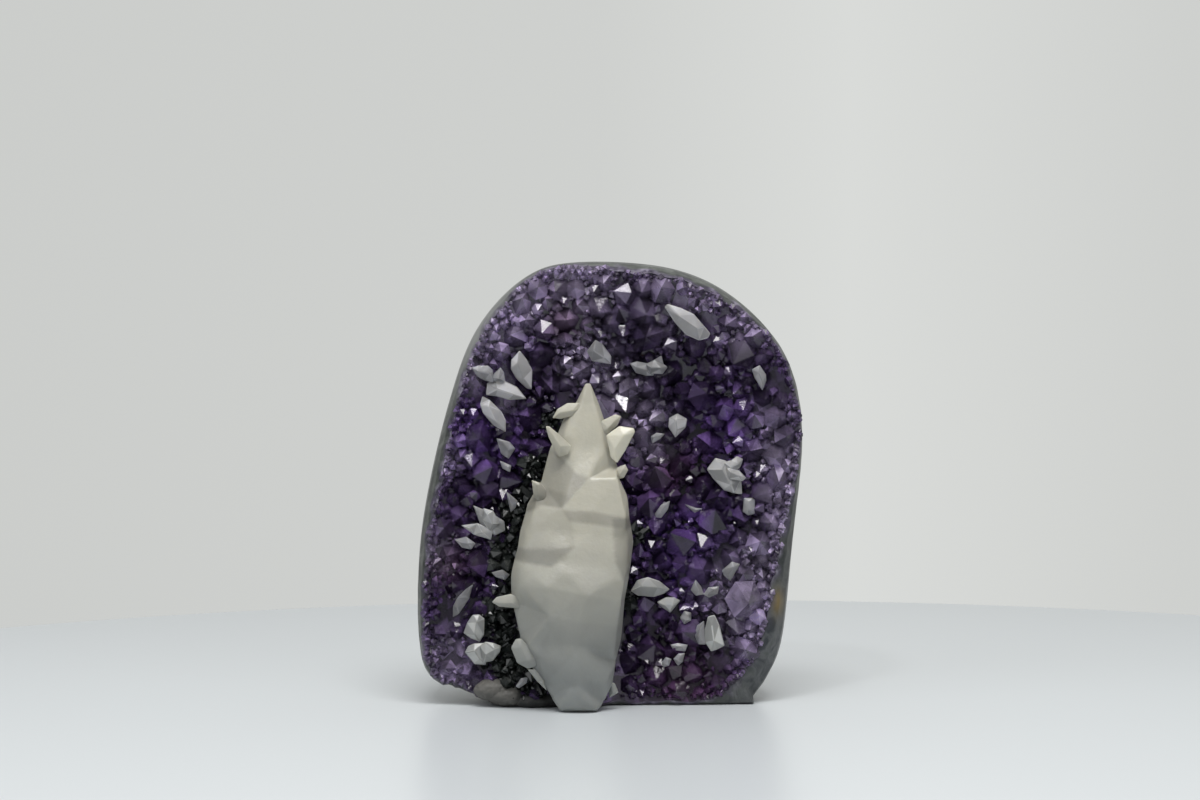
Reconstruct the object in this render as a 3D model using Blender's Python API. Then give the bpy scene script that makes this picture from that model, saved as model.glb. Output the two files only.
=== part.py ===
"""A free-standing amethyst geode: host rock with a polished rim, a crust of amethyst points in its
hollow front face, a large calcite spire in front of it and small calcite crystals on the crust.

Run it with blender --background --python part.py, or from the text editor.
Sizes are in millimetres until a mesh is made. The front faces -Y and +Z is up.
"""

import math

import bmesh
import bpy
import numpy as np
from mathutils import Vector, geometry, noise

MM = 0.001
SEED = 11
GAP = 0.35  # left between neighbouring pieces

# Outline of the rock seen from the front, as (x, z), from the right end of the flat base over the
# top to the left end of the base. The lower left corner is lifted off the table.
OUTLINE = (
    (41.0, 0.0), (45.6, 6.6), (49.6, 17.0), (52.2, 40.0), (55.1, 76.0), (50.8, 98.0), (37.0, 114.4),
    (18.0, 123.6), (-9.0, 125.5), (-24.5, 121.0), (-38.3, 106.2), (-46.6, 84.2), (-53.4, 54.0),
    (-55.3, 31.0), (-54.0, 12.9), (-49.4, 5.4), (-38.0, 1.8), (-32.0, 0.0),
)
HEIGHT = 125.5
CENTRE = (0.0, 58.0)
DOME_STEPS = 50
BASE_STEPS = 12

# Width of the polished rim, evenly spaced along the outline from the right end of the base.
RIM_WIDTHS = (6.0, 5.8, 3.6, 1.4, 1.6, 2.8, 3.0, 1.6, 2.8, 3.4, 4.0, 3.8, 2.6, 1.6)
BASE_RIM_WIDTH = 1.2

# Front edge of the rim: it leans back, and bulges forward where the rock carries the spire.
EDGE_Y_FOOT = -14.0
EDGE_Y_TOP = -8.0
BULGE = 5.0
BULGE_AT = (-18.0, 6.0)
BULGE_SPREAD = (17.0, 22.0)

# Rock from the rim's edge to the back: (share of the way, share of the rim width that is left,
# pull-in at the dome, pull-in at the base, roughness of the natural surface)
ROCK_RINGS = (
    (0.0, 1.0, 0.0, BASE_RIM_WIDTH, 0.0),
    (0.033, 0.55, 0.0, 0.0, 0.0),
    (0.12, 0.18, 0.0, 0.0, 0.0),
    (0.33, 0.0, 0.0, 0.0, 0.0),
    (0.54, 0.0, 0.8, 0.0, 0.0),
    (0.70, 0.0, 3.4, 0.0, 0.5),
    (0.83, 0.0, 9.0, 4.5, 1.3),
    (0.92, 0.0, 19.0, 13.0, 1.8),
    (0.97, 0.0, 32.0, 26.0, 2.0),
    (1.0, 0.0, 44.0, 40.0, 1.6),
)
BACK_Y = 32.0
LUMP_SIZE = 15.0

# The hollow: how deep it is, where it is deepest and how far it spreads
BOWL_DEPTH = 9.5
BOWL_AT = (6.0, 78.0)
BOWL_SPREAD = (34.0, 34.0)
CRUST_AT_RIM = 3.6
CRUST_IN_MIDDLE = 7.0
RIM_FADE = 5  # the higher, the narrower the band beside the rim where these change
LIP = 1.0  # how far the seat of the crust steps in behind the rim
CRUST_INSET = 0.5  # of the crust's edge from the lip
CRUST_PROUD = 0.3  # of the crust's edge in front of the rim
SEAT_SHARES = (0.86, 0.7, 0.53, 0.36, 0.18)

# Amethyst points
POINT_SPACING_RIM = 5.0
POINT_SPACING_MIDDLE = 8.2
POINT_HEIGHT_RIM = 1.5
POINT_HEIGHT_MIDDLE = 4.6
POINT_VARIATION = (0.6, 1.25)
POINT_TILT = 0.45
VALLEY_DEPTHS = (0.35, 0.6)  # of the point height, behind the crust's mean face
SHOULDER_IN = 0.26
SHOULDER_UP = 0.6
BORDER_SPACE = 0.62  # of the spacing, kept free beside the crust's edge
TRIES = 16000

# Corners of the calcite spire's body, as (x, y, z)
SPIRE_CORNERS = (
    (-14.1, -29.0, 0.0), (-3.6, -30.0, 0.0), (-15.0, -15.0, 0.0), (-4.5, -14.0, 0.0),
    (-20.6, -24.0, 11.0), (1.4, -24.0, 11.0), (-18.0, -32.5, 16.8), (-2.8, -33.0, 18.2),
    (-27.9, -22.0, 35.0), (-26.6, -13.0, 27.0), (4.6, -22.0, 34.0), (3.0, -13.0, 22.0),
    (-16.6, -34.5, 36.0), (-0.9, -34.0, 31.0), (6.7, -21.0, 47.2), (-26.0, -21.0, 47.0),
    (-18.0, -29.5, 56.4), (-2.8, -30.0, 54.8), (5.3, -20.0, 57.5), (-23.2, -19.5, 57.7),
    (-5.6, -25.5, 64.8), (2.6, -21.0, 65.2), (-19.4, -17.0, 65.0), (-10.5, -8.0, 45.0),
    (-9.0, -9.0, 66.0), (-17.0, -15.5, 73.0), (0.4, -15.5, 77.0), (-9.0, -20.5, 78.0),
    (-13.9, -13.5, 80.0), (-7.6, -14.6, 91.4), (-5.0, -14.6, 91.4), (-6.3, -12.8, 90.6),
)

# Side teeth grown together with the spire, as (root, tip, width)
SPIRE_TEETH = (
    ((-8.6, -16.0, 84.6), (-16.6, -17.5, 81.0), 3.4),
    ((-11.5, -17.5, 70.5), (-17.8, -23.0, 79.2), 6.2),
    ((-17.0, -20.0, 59.5), (-22.6, -24.0, 62.9), 5.0),
    ((-25.0, -22.5, 29.2), (-33.2, -24.5, 29.6), 4.4),
    ((-19.0, -22.5, 11.8), (-27.4, -27.5, 14.4), 6.4),
    ((-3.0, -15.5, 77.5), (3.5, -18.5, 82.4), 3.6),
    ((-0.6, -17.0, 70.5), (5.8, -22.0, 78.4), 6.6),
    ((0.8, -18.5, 64.0), (5.4, -21.5, 67.6), 3.6),
    ((-1.5, -21.0, 5.6), (3.2, -22.5, 3.6), 3.4),
)

# Small calcite crystals: name, then (tail x, z), (tip x, z) and width of each crystal in it
SMALL_CALCITES = (
    ("calcite_blade_top_right", (((28.6, 103.4), (15.6, 113.4), 5.4),)),
    ("calcite_leaf_upper_left", (((-22.5, 89.0), (-25.8, 100.6), 5.2),)),
    ("calcite_blade_upper_left", (((-35.6, 91.2), (-23.4, 86.6), 4.8),)),
    ("calcite_chip_upper_left", (((-34.2, 96.0), (-40.4, 94.4), 4.0),)),
    ("calcite_blade_left", (((-36.6, 87.0), (-29.6, 76.8), 4.8),)),
    ("calcite_tooth_left", (((-32.4, 75.3), (-27.2, 69.8), 4.2),)),
    ("calcite_star_left", (
        ((-32.0, 47.6), (-39.4, 56.6), 4.6),
        ((-30.8, 49.4), (-42.4, 50.9), 4.0),
        ((-36.4, 45.6), (-33.2, 54.6), 4.8),
        ((-36.6, 52.8), (-29.4, 50.6), 4.8),
    )),
    ("calcite_sliver_left", (((-38.0, 45.2), (-44.4, 46.8), 3.2),)),
    ("calcite_leaf_lower_left", (((-44.6, 24.6), (-39.2, 34.2), 4.2),)),
    ("calcite_knob_lower_left", (((-41.0, 18.8), (-36.6, 26.0), 5.6),)),
    ("calcite_pair_lower_left", (
        ((-35.0, 12.4), (-41.4, 15.6), 5.0),
        ((-36.8, 12.8), (-31.0, 17.2), 5.0),
    )),
    ("calcite_leaf_beside_spire", (((19.2, 75.0), (18.4, 83.0), 5.4),)),
    ("calcite_star_right", (
        ((36.4, 63.6), (27.2, 67.2), 4.4),
        ((31.0, 63.2), (37.8, 70.2), 4.4),
        ((31.4, 65.2), (39.4, 64.4), 3.8),
        ((31.8, 66.8), (37.9, 59.2), 4.6),
    )),
    ("calcite_pair_top", (
        ((6.2, 93.8), (16.2, 98.0), 4.4),
        ((14.6, 92.4), (6.0, 94.6), 3.8),
    )),
    ("calcite_leaf_far_right", (((43.2, 88.6), (41.4, 96.0), 4.2),)),
    ("calcite_wedge_top", (((-3.0, 97.4), (-4.2, 103.6), 6.0),)),
    ("calcite_leaf_low_middle", (((17.4, 33.2), (8.2, 32.8), 5.6),)),
    ("calcite_chip_low_middle", (((20.2, 27.6), (13.4, 28.2), 4.6),)),
    ("calcite_blade_lower_right", (((31.0, 14.2), (28.4, 26.0), 5.6),)),
    ("calcite_chip_lower_right", (((31.4, 33.6), (25.6, 31.6), 4.2),)),
    ("calcite_tooth_lower_right", (((31.2, 37.4), (36.6, 40.6), 4.4),)),
)
WAIST = 0.46  # of a tooth, from its tail
ZIGZAG = 0.1
THICKNESS = 0.82  # of a tooth's width
SMALL_STANDOFF = 2.4  # of the middle, in front of the crust's mean face
SMALL_RISE = 2.0  # of the tip over the tail, towards the viewer

COLOURS = {
    "rock": ((0.10, 0.11, 0.10), 0.45),
    "amethyst": ((0.12, 0.06, 0.24), 0.12),
    "calcite": ((0.52, 0.51, 0.44), 0.38),
}


def clear_scene():
    for obj in list(bpy.data.objects):
        bpy.data.objects.remove(obj)


def material(name):
    """The named material, made the first time that it is asked for."""
    found = bpy.data.materials.get(name)
    if found:
        return found
    made = bpy.data.materials.new(name)
    made.use_nodes = True
    colour, roughness = COLOURS[name]
    shader = made.node_tree.nodes["Principled BSDF"]
    shader.inputs["Base Color"].default_value = (*colour, 1.0)
    shader.inputs["Roughness"].default_value = roughness
    shader.inputs["Metallic"].default_value = 0.0
    return made


def add_object(name, mesh_data, material_name):
    """Makes an object of a bmesh in millimetres, facing out."""
    bmesh.ops.recalc_face_normals(mesh_data, faces=mesh_data.faces)
    bmesh.ops.scale(mesh_data, vec=(MM, MM, MM), verts=mesh_data.verts)
    mesh = bpy.data.meshes.new(name)
    mesh_data.to_mesh(mesh)
    mesh_data.free()
    mesh.materials.append(material(material_name))
    obj = bpy.data.objects.new(name, mesh)
    bpy.context.scene.collection.objects.link(obj)
    return obj


def make_helper(obj):
    obj.hide_render = True
    obj.display_type = "WIRE"
    return obj


def smooth_curve(points, steps_between):
    """A Catmull-Rom curve through the points, as an array."""
    points = np.array(points)
    padded = np.vstack([2 * points[0] - points[1], points, 2 * points[-1] - points[-2]])
    found = []
    for before, start, end, after in zip(padded, padded[1:], padded[2:], padded[3:]):
        for t in np.linspace(0, 1, steps_between, endpoint=False):
            found.append(
                0.5 * (
                    2 * start
                    + (end - before) * t
                    + (2 * before - 5 * start + 4 * end - after) * t**2
                    + (3 * start - before - 3 * end + after) * t**3
                )
            )
    return np.vstack([found, points[-1]])


def even_steps(curve, count):
    """The curve at count + 1 evenly spaced places."""
    lengths = np.append(0, np.cumsum(np.hypot(*np.diff(curve, axis=0).T)))
    wanted = np.linspace(0, lengths[-1], count + 1)
    return np.column_stack([np.interp(wanted, lengths, curve[:, i]) for i in (0, 1)])


class Outline:
    """The rock's outline as points, each with its rim width and whether it is on the flat base."""

    def __init__(self):
        dome = even_steps(smooth_curve(OUTLINE, 12), DOME_STEPS)
        base = np.linspace(dome[-1], dome[0], BASE_STEPS + 1)[1:-1]
        self.points = np.vstack([dome, base])
        share = np.linspace(0, 1, len(RIM_WIDTHS))
        dome_rim = np.interp(np.linspace(0, 1, len(dome)), share, RIM_WIDTHS)
        self.rim = np.append(dome_rim, np.full(len(base), BASE_RIM_WIDTH))
        self.on_base = self.points[:, 1] < 0.01
        self.reach = np.hypot(*(self.points - CENTRE).T)
        angles = np.arctan2(*(self.points - CENTRE).T)
        order = np.argsort(angles)
        self.angles = angles[order]
        self.reach_by_angle = self.reach[order]

    def pulled_in(self, distance):
        """The outline moved towards the centre by a distance, or by one distance for each point."""
        kept = 1 - np.broadcast_to(distance, self.reach.shape) / self.reach
        return CENTRE + (self.points - CENTRE) * kept[:, None]

    def share(self, x, z):
        """0 at the centre, 1 on the outline."""
        dx = x - CENTRE[0]
        dz = z - CENTRE[1]
        full = np.interp(math.atan2(dx, dz), self.angles, self.reach_by_angle, period=2 * math.pi)
        return math.hypot(dx, dz) / full


def hill(x, z, middle, spread):
    """1 at the middle, falling off smoothly with the spread."""
    across = ((x - middle[0]) / spread[0]) ** 2
    along = ((z - middle[1]) / spread[1]) ** 2
    return math.exp(-across - along)


def edge_y(x, z):
    """Depth of the rim's front edge."""
    lean = EDGE_Y_FOOT + (EDGE_Y_TOP - EDGE_Y_FOOT) * z / HEIGHT
    return lean - BULGE * hill(x, z, BULGE_AT, BULGE_SPREAD)


def from_rim_to_middle(outline, x, z, at_rim, in_middle):
    """A value that changes beside the rim and is the same over most of the hollow."""
    inside = 1 - min(outline.share(x, z), 1.0) ** RIM_FADE
    return at_rim + (in_middle - at_rim) * inside


def crust_y(outline, x, z):
    """Depth of the crust's mean front face."""
    bowl = BOWL_DEPTH * hill(x, z, BOWL_AT, BOWL_SPREAD)
    return edge_y(x, z) + from_rim_to_middle(outline, x, z, 0.0, bowl)


def seat_y(outline, x, z):
    """Depth of the rock's face behind the crust."""
    thickness = from_rim_to_middle(outline, x, z, CRUST_AT_RIM, CRUST_IN_MIDDLE)
    return crust_y(outline, x, z) + thickness


def add_ring(shape, places, depths):
    return [shape.verts.new((x, y, z)) for (x, z), y in zip(places, depths)]


def bridge(shape, first, second):
    """Quads between two rings of as many vertices."""
    for i, vertex in enumerate(first):
        before = i - 1
        shape.faces.new((first[before], vertex, second[i], second[before]))


def close_with_fan(shape, ring, tip):
    for i, vertex in enumerate(ring):
        shape.faces.new((ring[i - 1], vertex, tip))


def seat_rings(shape, outline, border, lift):
    """Rings on the rock's front face, or lifted off it, and the fan that closes them."""
    previous = border
    places = outline.pulled_in(outline.rim + LIP) - CENTRE
    for share in SEAT_SHARES:
        ring_places = CENTRE + places * share
        depths = [seat_y(outline, x, z) - lift for x, z in ring_places]
        ring = add_ring(shape, ring_places, depths)
        bridge(shape, previous, ring)
        previous = ring
    tip = shape.verts.new((CENTRE[0], seat_y(outline, *CENTRE) - lift, CENTRE[1]))
    close_with_fan(shape, previous, tip)


def build_rock(outline):
    shape = bmesh.new()
    previous = None
    front = None
    for way, rim_share, dome_in, base_in, rough in ROCK_RINGS:
        pull = np.where(outline.on_base, base_in, dome_in + outline.rim * rim_share)
        places = outline.pulled_in(pull)
        depths = []
        for i, (x, z) in enumerate(places):
            depth = edge_y(x, z) * (1 - way) + BACK_Y * way
            lump = rough * noise.noise(Vector((x, depth, z)) / LUMP_SIZE)
            places[i] += (places[i] - CENTRE) / outline.reach[i] * lump
            depths.append(depth + lump)
        places[:, 1] = np.maximum(places[:, 1], 0.0)
        ring = add_ring(shape, places, depths)
        if previous:
            bridge(shape, previous, ring)
        else:
            front = ring
        previous = ring
    tip = shape.verts.new((CENTRE[0], BACK_Y, CENTRE[1]))
    close_with_fan(shape, previous, tip)

    lip = outline.pulled_in(outline.rim + LIP)
    depths = [edge_y(x, z) + CRUST_AT_RIM for x, z in lip]
    seat = add_ring(shape, lip, depths)
    bridge(shape, front, seat)
    seat_rings(shape, outline, seat, lift=0.0)
    return add_object("rock", shape, "rock")


def point_height(outline, x, z):
    """Height of an amethyst point over the crust's mean face: low beside the rim."""
    return from_rim_to_middle(outline, x, z, POINT_HEIGHT_RIM, POINT_HEIGHT_MIDDLE)


def scatter_points(outline, border, random):
    """Places of the amethyst points, closer together beside the rim."""
    low = border.min(axis=0)
    high = border.max(axis=0)
    kept = []
    for x, z in random.uniform(low, high, (TRIES, 2)):
        spacing = from_rim_to_middle(outline, x, z, POINT_SPACING_RIM, POINT_SPACING_MIDDLE)
        to_border = np.hypot(*(border - (x, z)).T)
        nearest = border[to_border.argmin()]
        outside = math.dist((x, z), CENTRE) > math.dist(nearest, CENTRE)
        if outside or to_border.min() < spacing * BORDER_SPACE:
            continue
        if kept and np.hypot(*(np.array(kept) - (x, z)).T).min() < spacing:
            continue
        kept.append((x, z))
    return kept


def triangulate(border, points):
    """Delaunay triangles over the border and the points inside it: the flat points, the triangles,
    and for each point whether it is on the border."""
    flat = [Vector(place) for place in (*border, *points)]
    loop = list(range(len(border)))
    found, _, triangles, origins, _, _ = geometry.delaunay_2d_cdt(flat, [], [loop], 1, 1e-6)
    on_border = [any(source < len(border) for source in origin) for origin in origins]
    return found, triangles, on_border


def crystal_field(shape, outline, ring_vertices, border, random):
    """The crust's front: each Delaunay point becomes a pointed crystal whose foot is the ring of the
    triangle centres around it."""
    points = scatter_points(outline, border, random)
    flat, triangles, on_border = triangulate(border, points)
    tops = []
    for place, border_point in zip(flat, on_border):
        if border_point:
            tops.append(min(ring_vertices, key=lambda vertex: (vertex.co.xz - place).length))
            continue
        height = point_height(outline, *place) * random.uniform(*POINT_VARIATION)
        shift = random.uniform(-POINT_TILT, POINT_TILT, 2) * height
        depth = crust_y(outline, *place) - height
        tops.append(shape.verts.new((place.x + shift[0], depth, place.y + shift[1])))

    valleys = []
    sides = {}
    for triangle in triangles:
        x, z = np.mean([flat[i] for i in triangle], axis=0)
        depth = crust_y(outline, x, z) + point_height(outline, x, z) * random.uniform(*VALLEY_DEPTHS)
        valleys.append(shape.verts.new((x, depth, z)))
        for start, end in zip(triangle, (*triangle[1:], triangle[0])):
            sides.setdefault(frozenset((start, end)), []).append(len(valleys) - 1)

    shoulders = {}

    def shoulder(top, valley):
        """The corner of a crystal where its prism ends and its point begins."""
        if (top, valley) not in shoulders:
            low = valleys[valley].co
            high = tops[top].co
            corner = low.lerp(high, SHOULDER_IN)
            corner.y = low.y + (high.y - low.y) * SHOULDER_UP
            shoulders[top, valley] = shape.verts.new(corner)
        return shoulders[top, valley]

    for ends, around in sides.items():
        start, end = ends
        if len(around) == 1:
            shape.faces.new((tops[start], tops[end], valleys[around[0]]))
            continue
        first, second = around
        for top in (start, end):
            if on_border[top]:
                shape.faces.new((tops[top], valleys[first], valleys[second]))
                continue
            left = shoulder(top, first)
            right = shoulder(top, second)
            shape.faces.new((tops[top], left, right))
            shape.faces.new((left, valleys[first], valleys[second], right))


def build_crust(outline):
    random = np.random.default_rng(SEED)
    shape = bmesh.new()
    back_places = outline.pulled_in(outline.rim + LIP + CRUST_INSET)
    back = add_ring(shape, back_places, [edge_y(x, z) + CRUST_AT_RIM - CRUST_INSET for x, z in back_places])
    seat_rings(shape, outline, back, lift=GAP)
    border = outline.pulled_in(outline.rim + CRUST_INSET)
    front = add_ring(shape, border, [edge_y(x, z) - CRUST_PROUD for x, z in border])
    bridge(shape, back, front)
    crystal_field(shape, outline, front, border, random)
    return add_object("amethyst_crust", shape, "amethyst")


def dogtooth(tail, tip, width, thickness):
    """Corners of a calcite tooth: a point at each end and six corners that zigzag round its waist."""
    tail = Vector(tail)
    tip = Vector(tip)
    along = tip - tail
    across = along.cross(Vector((0, 1, 0))).normalized()
    out = along.cross(across).normalized()
    corners = [tail, tip]
    for i in range(6):
        turn = math.radians(60 * i + 30)
        waist = WAIST + ZIGZAG * (-1) ** i
        radial = across * math.cos(turn) * width / 2 + out * math.sin(turn) * thickness / 2
        corners.append(tail + along * waist + radial)
    return corners


def hull(corners):
    shape = bmesh.new()
    for corner in corners:
        shape.verts.new(corner)
    made = bmesh.ops.convex_hull(shape, input=shape.verts)
    inner = {item for item in made["geom_interior"] if isinstance(item, bmesh.types.BMVert)}
    bmesh.ops.delete(shape, geom=list(inner), context="VERTS")
    bmesh.ops.recalc_face_normals(shape, faces=shape.faces)
    return shape


def grown(corners, distance):
    """The corners scaled about their middle until every face has moved out by the distance."""
    middle = sum((Vector(corner) for corner in corners), Vector()) / len(corners)
    shape = hull(corners)
    nearest = min((face.calc_center_median() - middle).dot(face.normal) for face in shape.faces)
    shape.free()
    return [middle + (Vector(corner) - middle) * (1 + distance / nearest) for corner in corners]


def new_collection(name):
    made = bpy.data.collections.new(name)
    bpy.context.scene.collection.children.link(made)
    return made


def move_to(obj, collection):
    for other in list(obj.users_collection):
        other.objects.unlink(obj)
    collection.objects.link(obj)


def combine(obj, operation, collection):
    """Joins a collection's solids to an object, or cuts them from it."""
    modifier = obj.modifiers.new(f"{operation} {collection.name}", "BOOLEAN")
    modifier.operation = operation
    modifier.operand_type = "COLLECTION"
    modifier.collection = collection
    modifier.solver = "EXACT"


def fused_crystals(name, crystals):
    """One solid of several crystals grown together, each given by its corners."""
    first, *others = crystals
    obj = add_object(name, hull(first), "calcite")
    if others:
        helpers = new_collection(f"{name} grown together")
        for i, corners in enumerate(others):
            helper = make_helper(add_object(f"{name} tooth {i}", hull(corners), "calcite"))
            move_to(helper, helpers)
        combine(obj, "UNION", helpers)
    return obj


def add_cutters(crystals, pocket, name):
    """Pockets for the crystals, with the gap round each of them."""
    for i, corners in enumerate(crystals):
        cutter = add_object(f"{name} pocket {i}", hull(grown(corners, GAP)), "calcite")
        move_to(make_helper(cutter), pocket)


def spire_crystals():
    crystals = [SPIRE_CORNERS]
    for root, tip, width in SPIRE_TEETH:
        crystals.append(dogtooth(root, tip, width, width * THICKNESS))
    return crystals


def small_crystals(outline, parts):
    """Corners of each crystal of a small calcite, standing out of the crust."""
    crystals = []
    for tail, tip, width in parts:
        x, z = (np.array(tail) + tip) / 2
        depth = crust_y(outline, x, z) - SMALL_STANDOFF
        start = (tail[0], depth + SMALL_RISE / 2, tail[1])
        end = (tip[0], depth - SMALL_RISE / 2, tip[1])
        crystals.append(dogtooth(start, end, width, width * THICKNESS))
    return crystals


def stand_on_origin(nodes):
    """Moves everything so that the bottom centre of the whole box is at the origin."""
    bpy.context.view_layer.update()
    graph = bpy.context.evaluated_depsgraph_get()
    corners = [Vector(corner) for node in nodes for corner in node.evaluated_get(graph).bound_box]
    low = [min(corner[axis] for corner in corners) for axis in range(3)]
    high = [max(corner[axis] for corner in corners) for axis in range(3)]
    root = bpy.data.objects.new("geode", None)
    bpy.context.scene.collection.objects.link(root)
    for obj in bpy.data.objects:
        if obj is not root:
            obj.parent = root
    root.location = (-(low[0] + high[0]) / 2, -(low[1] + high[1]) / 2, -low[2])


def main():
    clear_scene()
    outline = Outline()
    rock = build_rock(outline)
    crust = build_crust(outline)
    spire_pocket = new_collection("spire pocket")
    small_pockets = new_collection("small pockets")
    nodes = [rock, crust]

    crystals = spire_crystals()
    nodes.append(fused_crystals("calcite_spire", crystals))
    add_cutters(crystals, spire_pocket, "spire")
    for name, parts in SMALL_CALCITES:
        crystals = small_crystals(outline, parts)
        nodes.append(fused_crystals(name, crystals))
        add_cutters(crystals, small_pockets, name)

    combine(rock, "DIFFERENCE", spire_pocket)
    combine(crust, "DIFFERENCE", spire_pocket)
    combine(crust, "DIFFERENCE", small_pockets)
    stand_on_origin(nodes)


main()
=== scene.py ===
"""Looks of the amethyst geode: a fine crust of clear amethyst points, dark druse round the spire,
waxy calcite, a polished rim and rough natural rock, on a plain pale table in soft light.

Sizes are in millimetres in the geode's own build frame until a mesh is made. ORIGIN moves them
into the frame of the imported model. The front faces -Y and +Z is up.
"""

import math
from itertools import combinations, product

import bmesh
import bpy
import numpy as np
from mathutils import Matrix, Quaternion, Vector, kdtree, noise
from mathutils.bvhtree import BVHTree
from mathutils.geometry import delaunay_2d_cdt


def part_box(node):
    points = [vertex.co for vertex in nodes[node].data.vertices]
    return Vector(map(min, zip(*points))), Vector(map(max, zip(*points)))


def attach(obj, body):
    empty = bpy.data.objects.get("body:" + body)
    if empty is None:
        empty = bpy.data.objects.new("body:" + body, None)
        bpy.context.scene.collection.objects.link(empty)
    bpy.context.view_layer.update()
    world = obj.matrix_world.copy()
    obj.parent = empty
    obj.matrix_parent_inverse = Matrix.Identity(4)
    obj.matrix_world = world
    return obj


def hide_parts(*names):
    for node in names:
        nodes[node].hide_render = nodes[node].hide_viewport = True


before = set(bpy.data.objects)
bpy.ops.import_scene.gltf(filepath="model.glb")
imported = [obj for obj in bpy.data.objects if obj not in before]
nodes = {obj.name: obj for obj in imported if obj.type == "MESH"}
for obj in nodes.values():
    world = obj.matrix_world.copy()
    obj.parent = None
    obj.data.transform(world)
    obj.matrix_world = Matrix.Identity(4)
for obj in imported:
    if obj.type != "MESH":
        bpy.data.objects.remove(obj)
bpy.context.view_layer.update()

MM = 0.001
SEED = 29
FORWARD = Vector((0.0, -1.0, 0.0))
QUARTZ_IOR = 1.544
CALCITE_IOR = 1.6

# The rock's outline, rim and hollow, as in the solids
OUTLINE = (
    (41.0, 0.0), (45.6, 6.6), (49.6, 17.0), (52.2, 40.0), (55.1, 76.0), (50.8, 98.0), (37.0, 114.4),
    (18.0, 123.6), (-9.0, 125.5), (-24.5, 121.0), (-38.3, 106.2), (-46.6, 84.2), (-53.4, 54.0),
    (-55.3, 31.0), (-54.0, 12.9), (-49.4, 5.4), (-38.0, 1.8), (-32.0, 0.0),
)
HEIGHT = 125.5
CENTRE = (0.0, 58.0)
CURVE_STEPS = 24
DOME_STEPS = 300
BASE_STEPS = 72
RIM_WIDTHS = (9.0, 7.0, 4.4, 1.4, 1.6, 2.8, 3.0, 1.6, 2.8, 3.4, 4.0, 3.8, 2.6, 1.6)
BASE_RIM_WIDTHS = (1.6, 1.2, 1.2, 1.2, 1.2, 1.2, 1.2, 1.2, 3.0, 9.0)
RIM_RAGGED = 0.9
RIM_WAVE = 5.0
NARROWEST_RIM = 0.7
BROKEN_CORNER = (-46.0, 4.5)
BROKEN_SPREAD = (6.0, 4.5)
BROKEN_DEPTH = 1.5
BROKEN_LEAST = 0.6
BROKEN_GRAIN = 2.0
NOISE_SLICE = 7.0
# Marks on the polished rim, as (x, z) and spread
RUST_MARK = ((47.8, 29.0), (1.7, 3.6))
# The pale mark is a painted highlight: the upper left of the rim painted lighter where the light from above
# falls
PAINTED_HIGHLIGHT_MARK = ((-38.0, 106.0), (17.0, 17.0))
MUDDY_MARK = ((47.0, 10.0), (14.0, 28.0))
QUARTZ_RIM = ((-8.0, 126.0), (34.0, 14.0))
MARKS_TO = 8.0
# Quartz seam along the inner edge of the rim: width, wave as (height, wavelength) and fade
QUARTZ_WIDTH = 2.0
QUARTZ_WIDER = 1.6
QUARTZ_WAVE = (3.2, 4.0)
QUARTZ_FADE = 1.6
# How far back the polish goes
POLISH_TO = 15.0
POLISH_WAVES = ((3.5, 9.0), (1.2, 2.5))
POLISH_FADE = 1.5
EDGE_Y_FOOT = -14.0
EDGE_Y_TOP = -8.0
BULGE = 5.0
BULGE_AT = (-18.0, 6.0)
BULGE_SPREAD = (17.0, 22.0)
# (share of the way back, share of the rim width left, pull-in at the dome, at the base, roughness)
ROCK_RINGS = (
    (0.0, 1.0, 0.0, 0.0, 0.0),
    (0.033, 0.55, 0.0, 0.0, 0.0),
    (0.12, 0.18, 0.0, 0.0, 0.0),
    (0.33, 0.0, 0.0, 0.0, 0.0),
    (0.54, 0.0, 0.8, 0.0, 0.0),
    (0.70, 0.0, 3.4, 0.0, 0.5),
    (0.83, 0.0, 9.0, 4.5, 1.3),
    (0.92, 0.0, 19.0, 13.0, 1.8),
    (0.97, 0.0, 32.0, 26.0, 2.0),
    (1.0, 0.0, 44.0, 40.0, 1.6),
)
ROCK_STEPS = 74
# Rings up to this share of the way stand closer, for the rim's rounded edge
RIM_WAY = 0.12
RIM_STEPS = 14
BACK_Y = 32.0
# Rough natural skin, as waves of (height, wavelength) and pits
BROAD_LUMPS = (1.0, 15.0)
KNOBS = (0.5, 5.0)
GRAIN = (0.16, 1.4)
PIT_SIZE = 2.2
PIT_SHIFT = Vector((9.0, 0.0, 0.0))
PITS_FROM = 0.25
PIT_DEPTH = 0.9
BOWL_DEPTH = 9.5
BOWL_AT = (6.0, 78.0)
BOWL_SPREAD = (34.0, 34.0)
CRUST_AT_RIM = 3.6
CRUST_IN_MIDDLE = 7.0
RIM_FADE = 5
LIP = 1.0
SLAB_INSET = -0.25
SLAB_BEFORE_SEAT = 0.35
SLAB_BEHIND_CRUST = (0.1, 2.6)
SHARES_INWARD = np.linspace(1, 0, 16, endpoint=False)
SPIRE_FRONT = -34.5

# Camera, from the photograph: 85 mm lens on a 36 mm frame, 81 cm in front of the rim
CAMERA_AT = (-2.8, -812.0, 120.0)
CAMERA_DOWN = math.radians(2.4)
LENS = 85.0
SENSOR_WIDTH = 36.0
TABLE_MIDDLE = (28.0, -117.0, 0.0)
TABLE_RADIUS = 369.0

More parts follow.
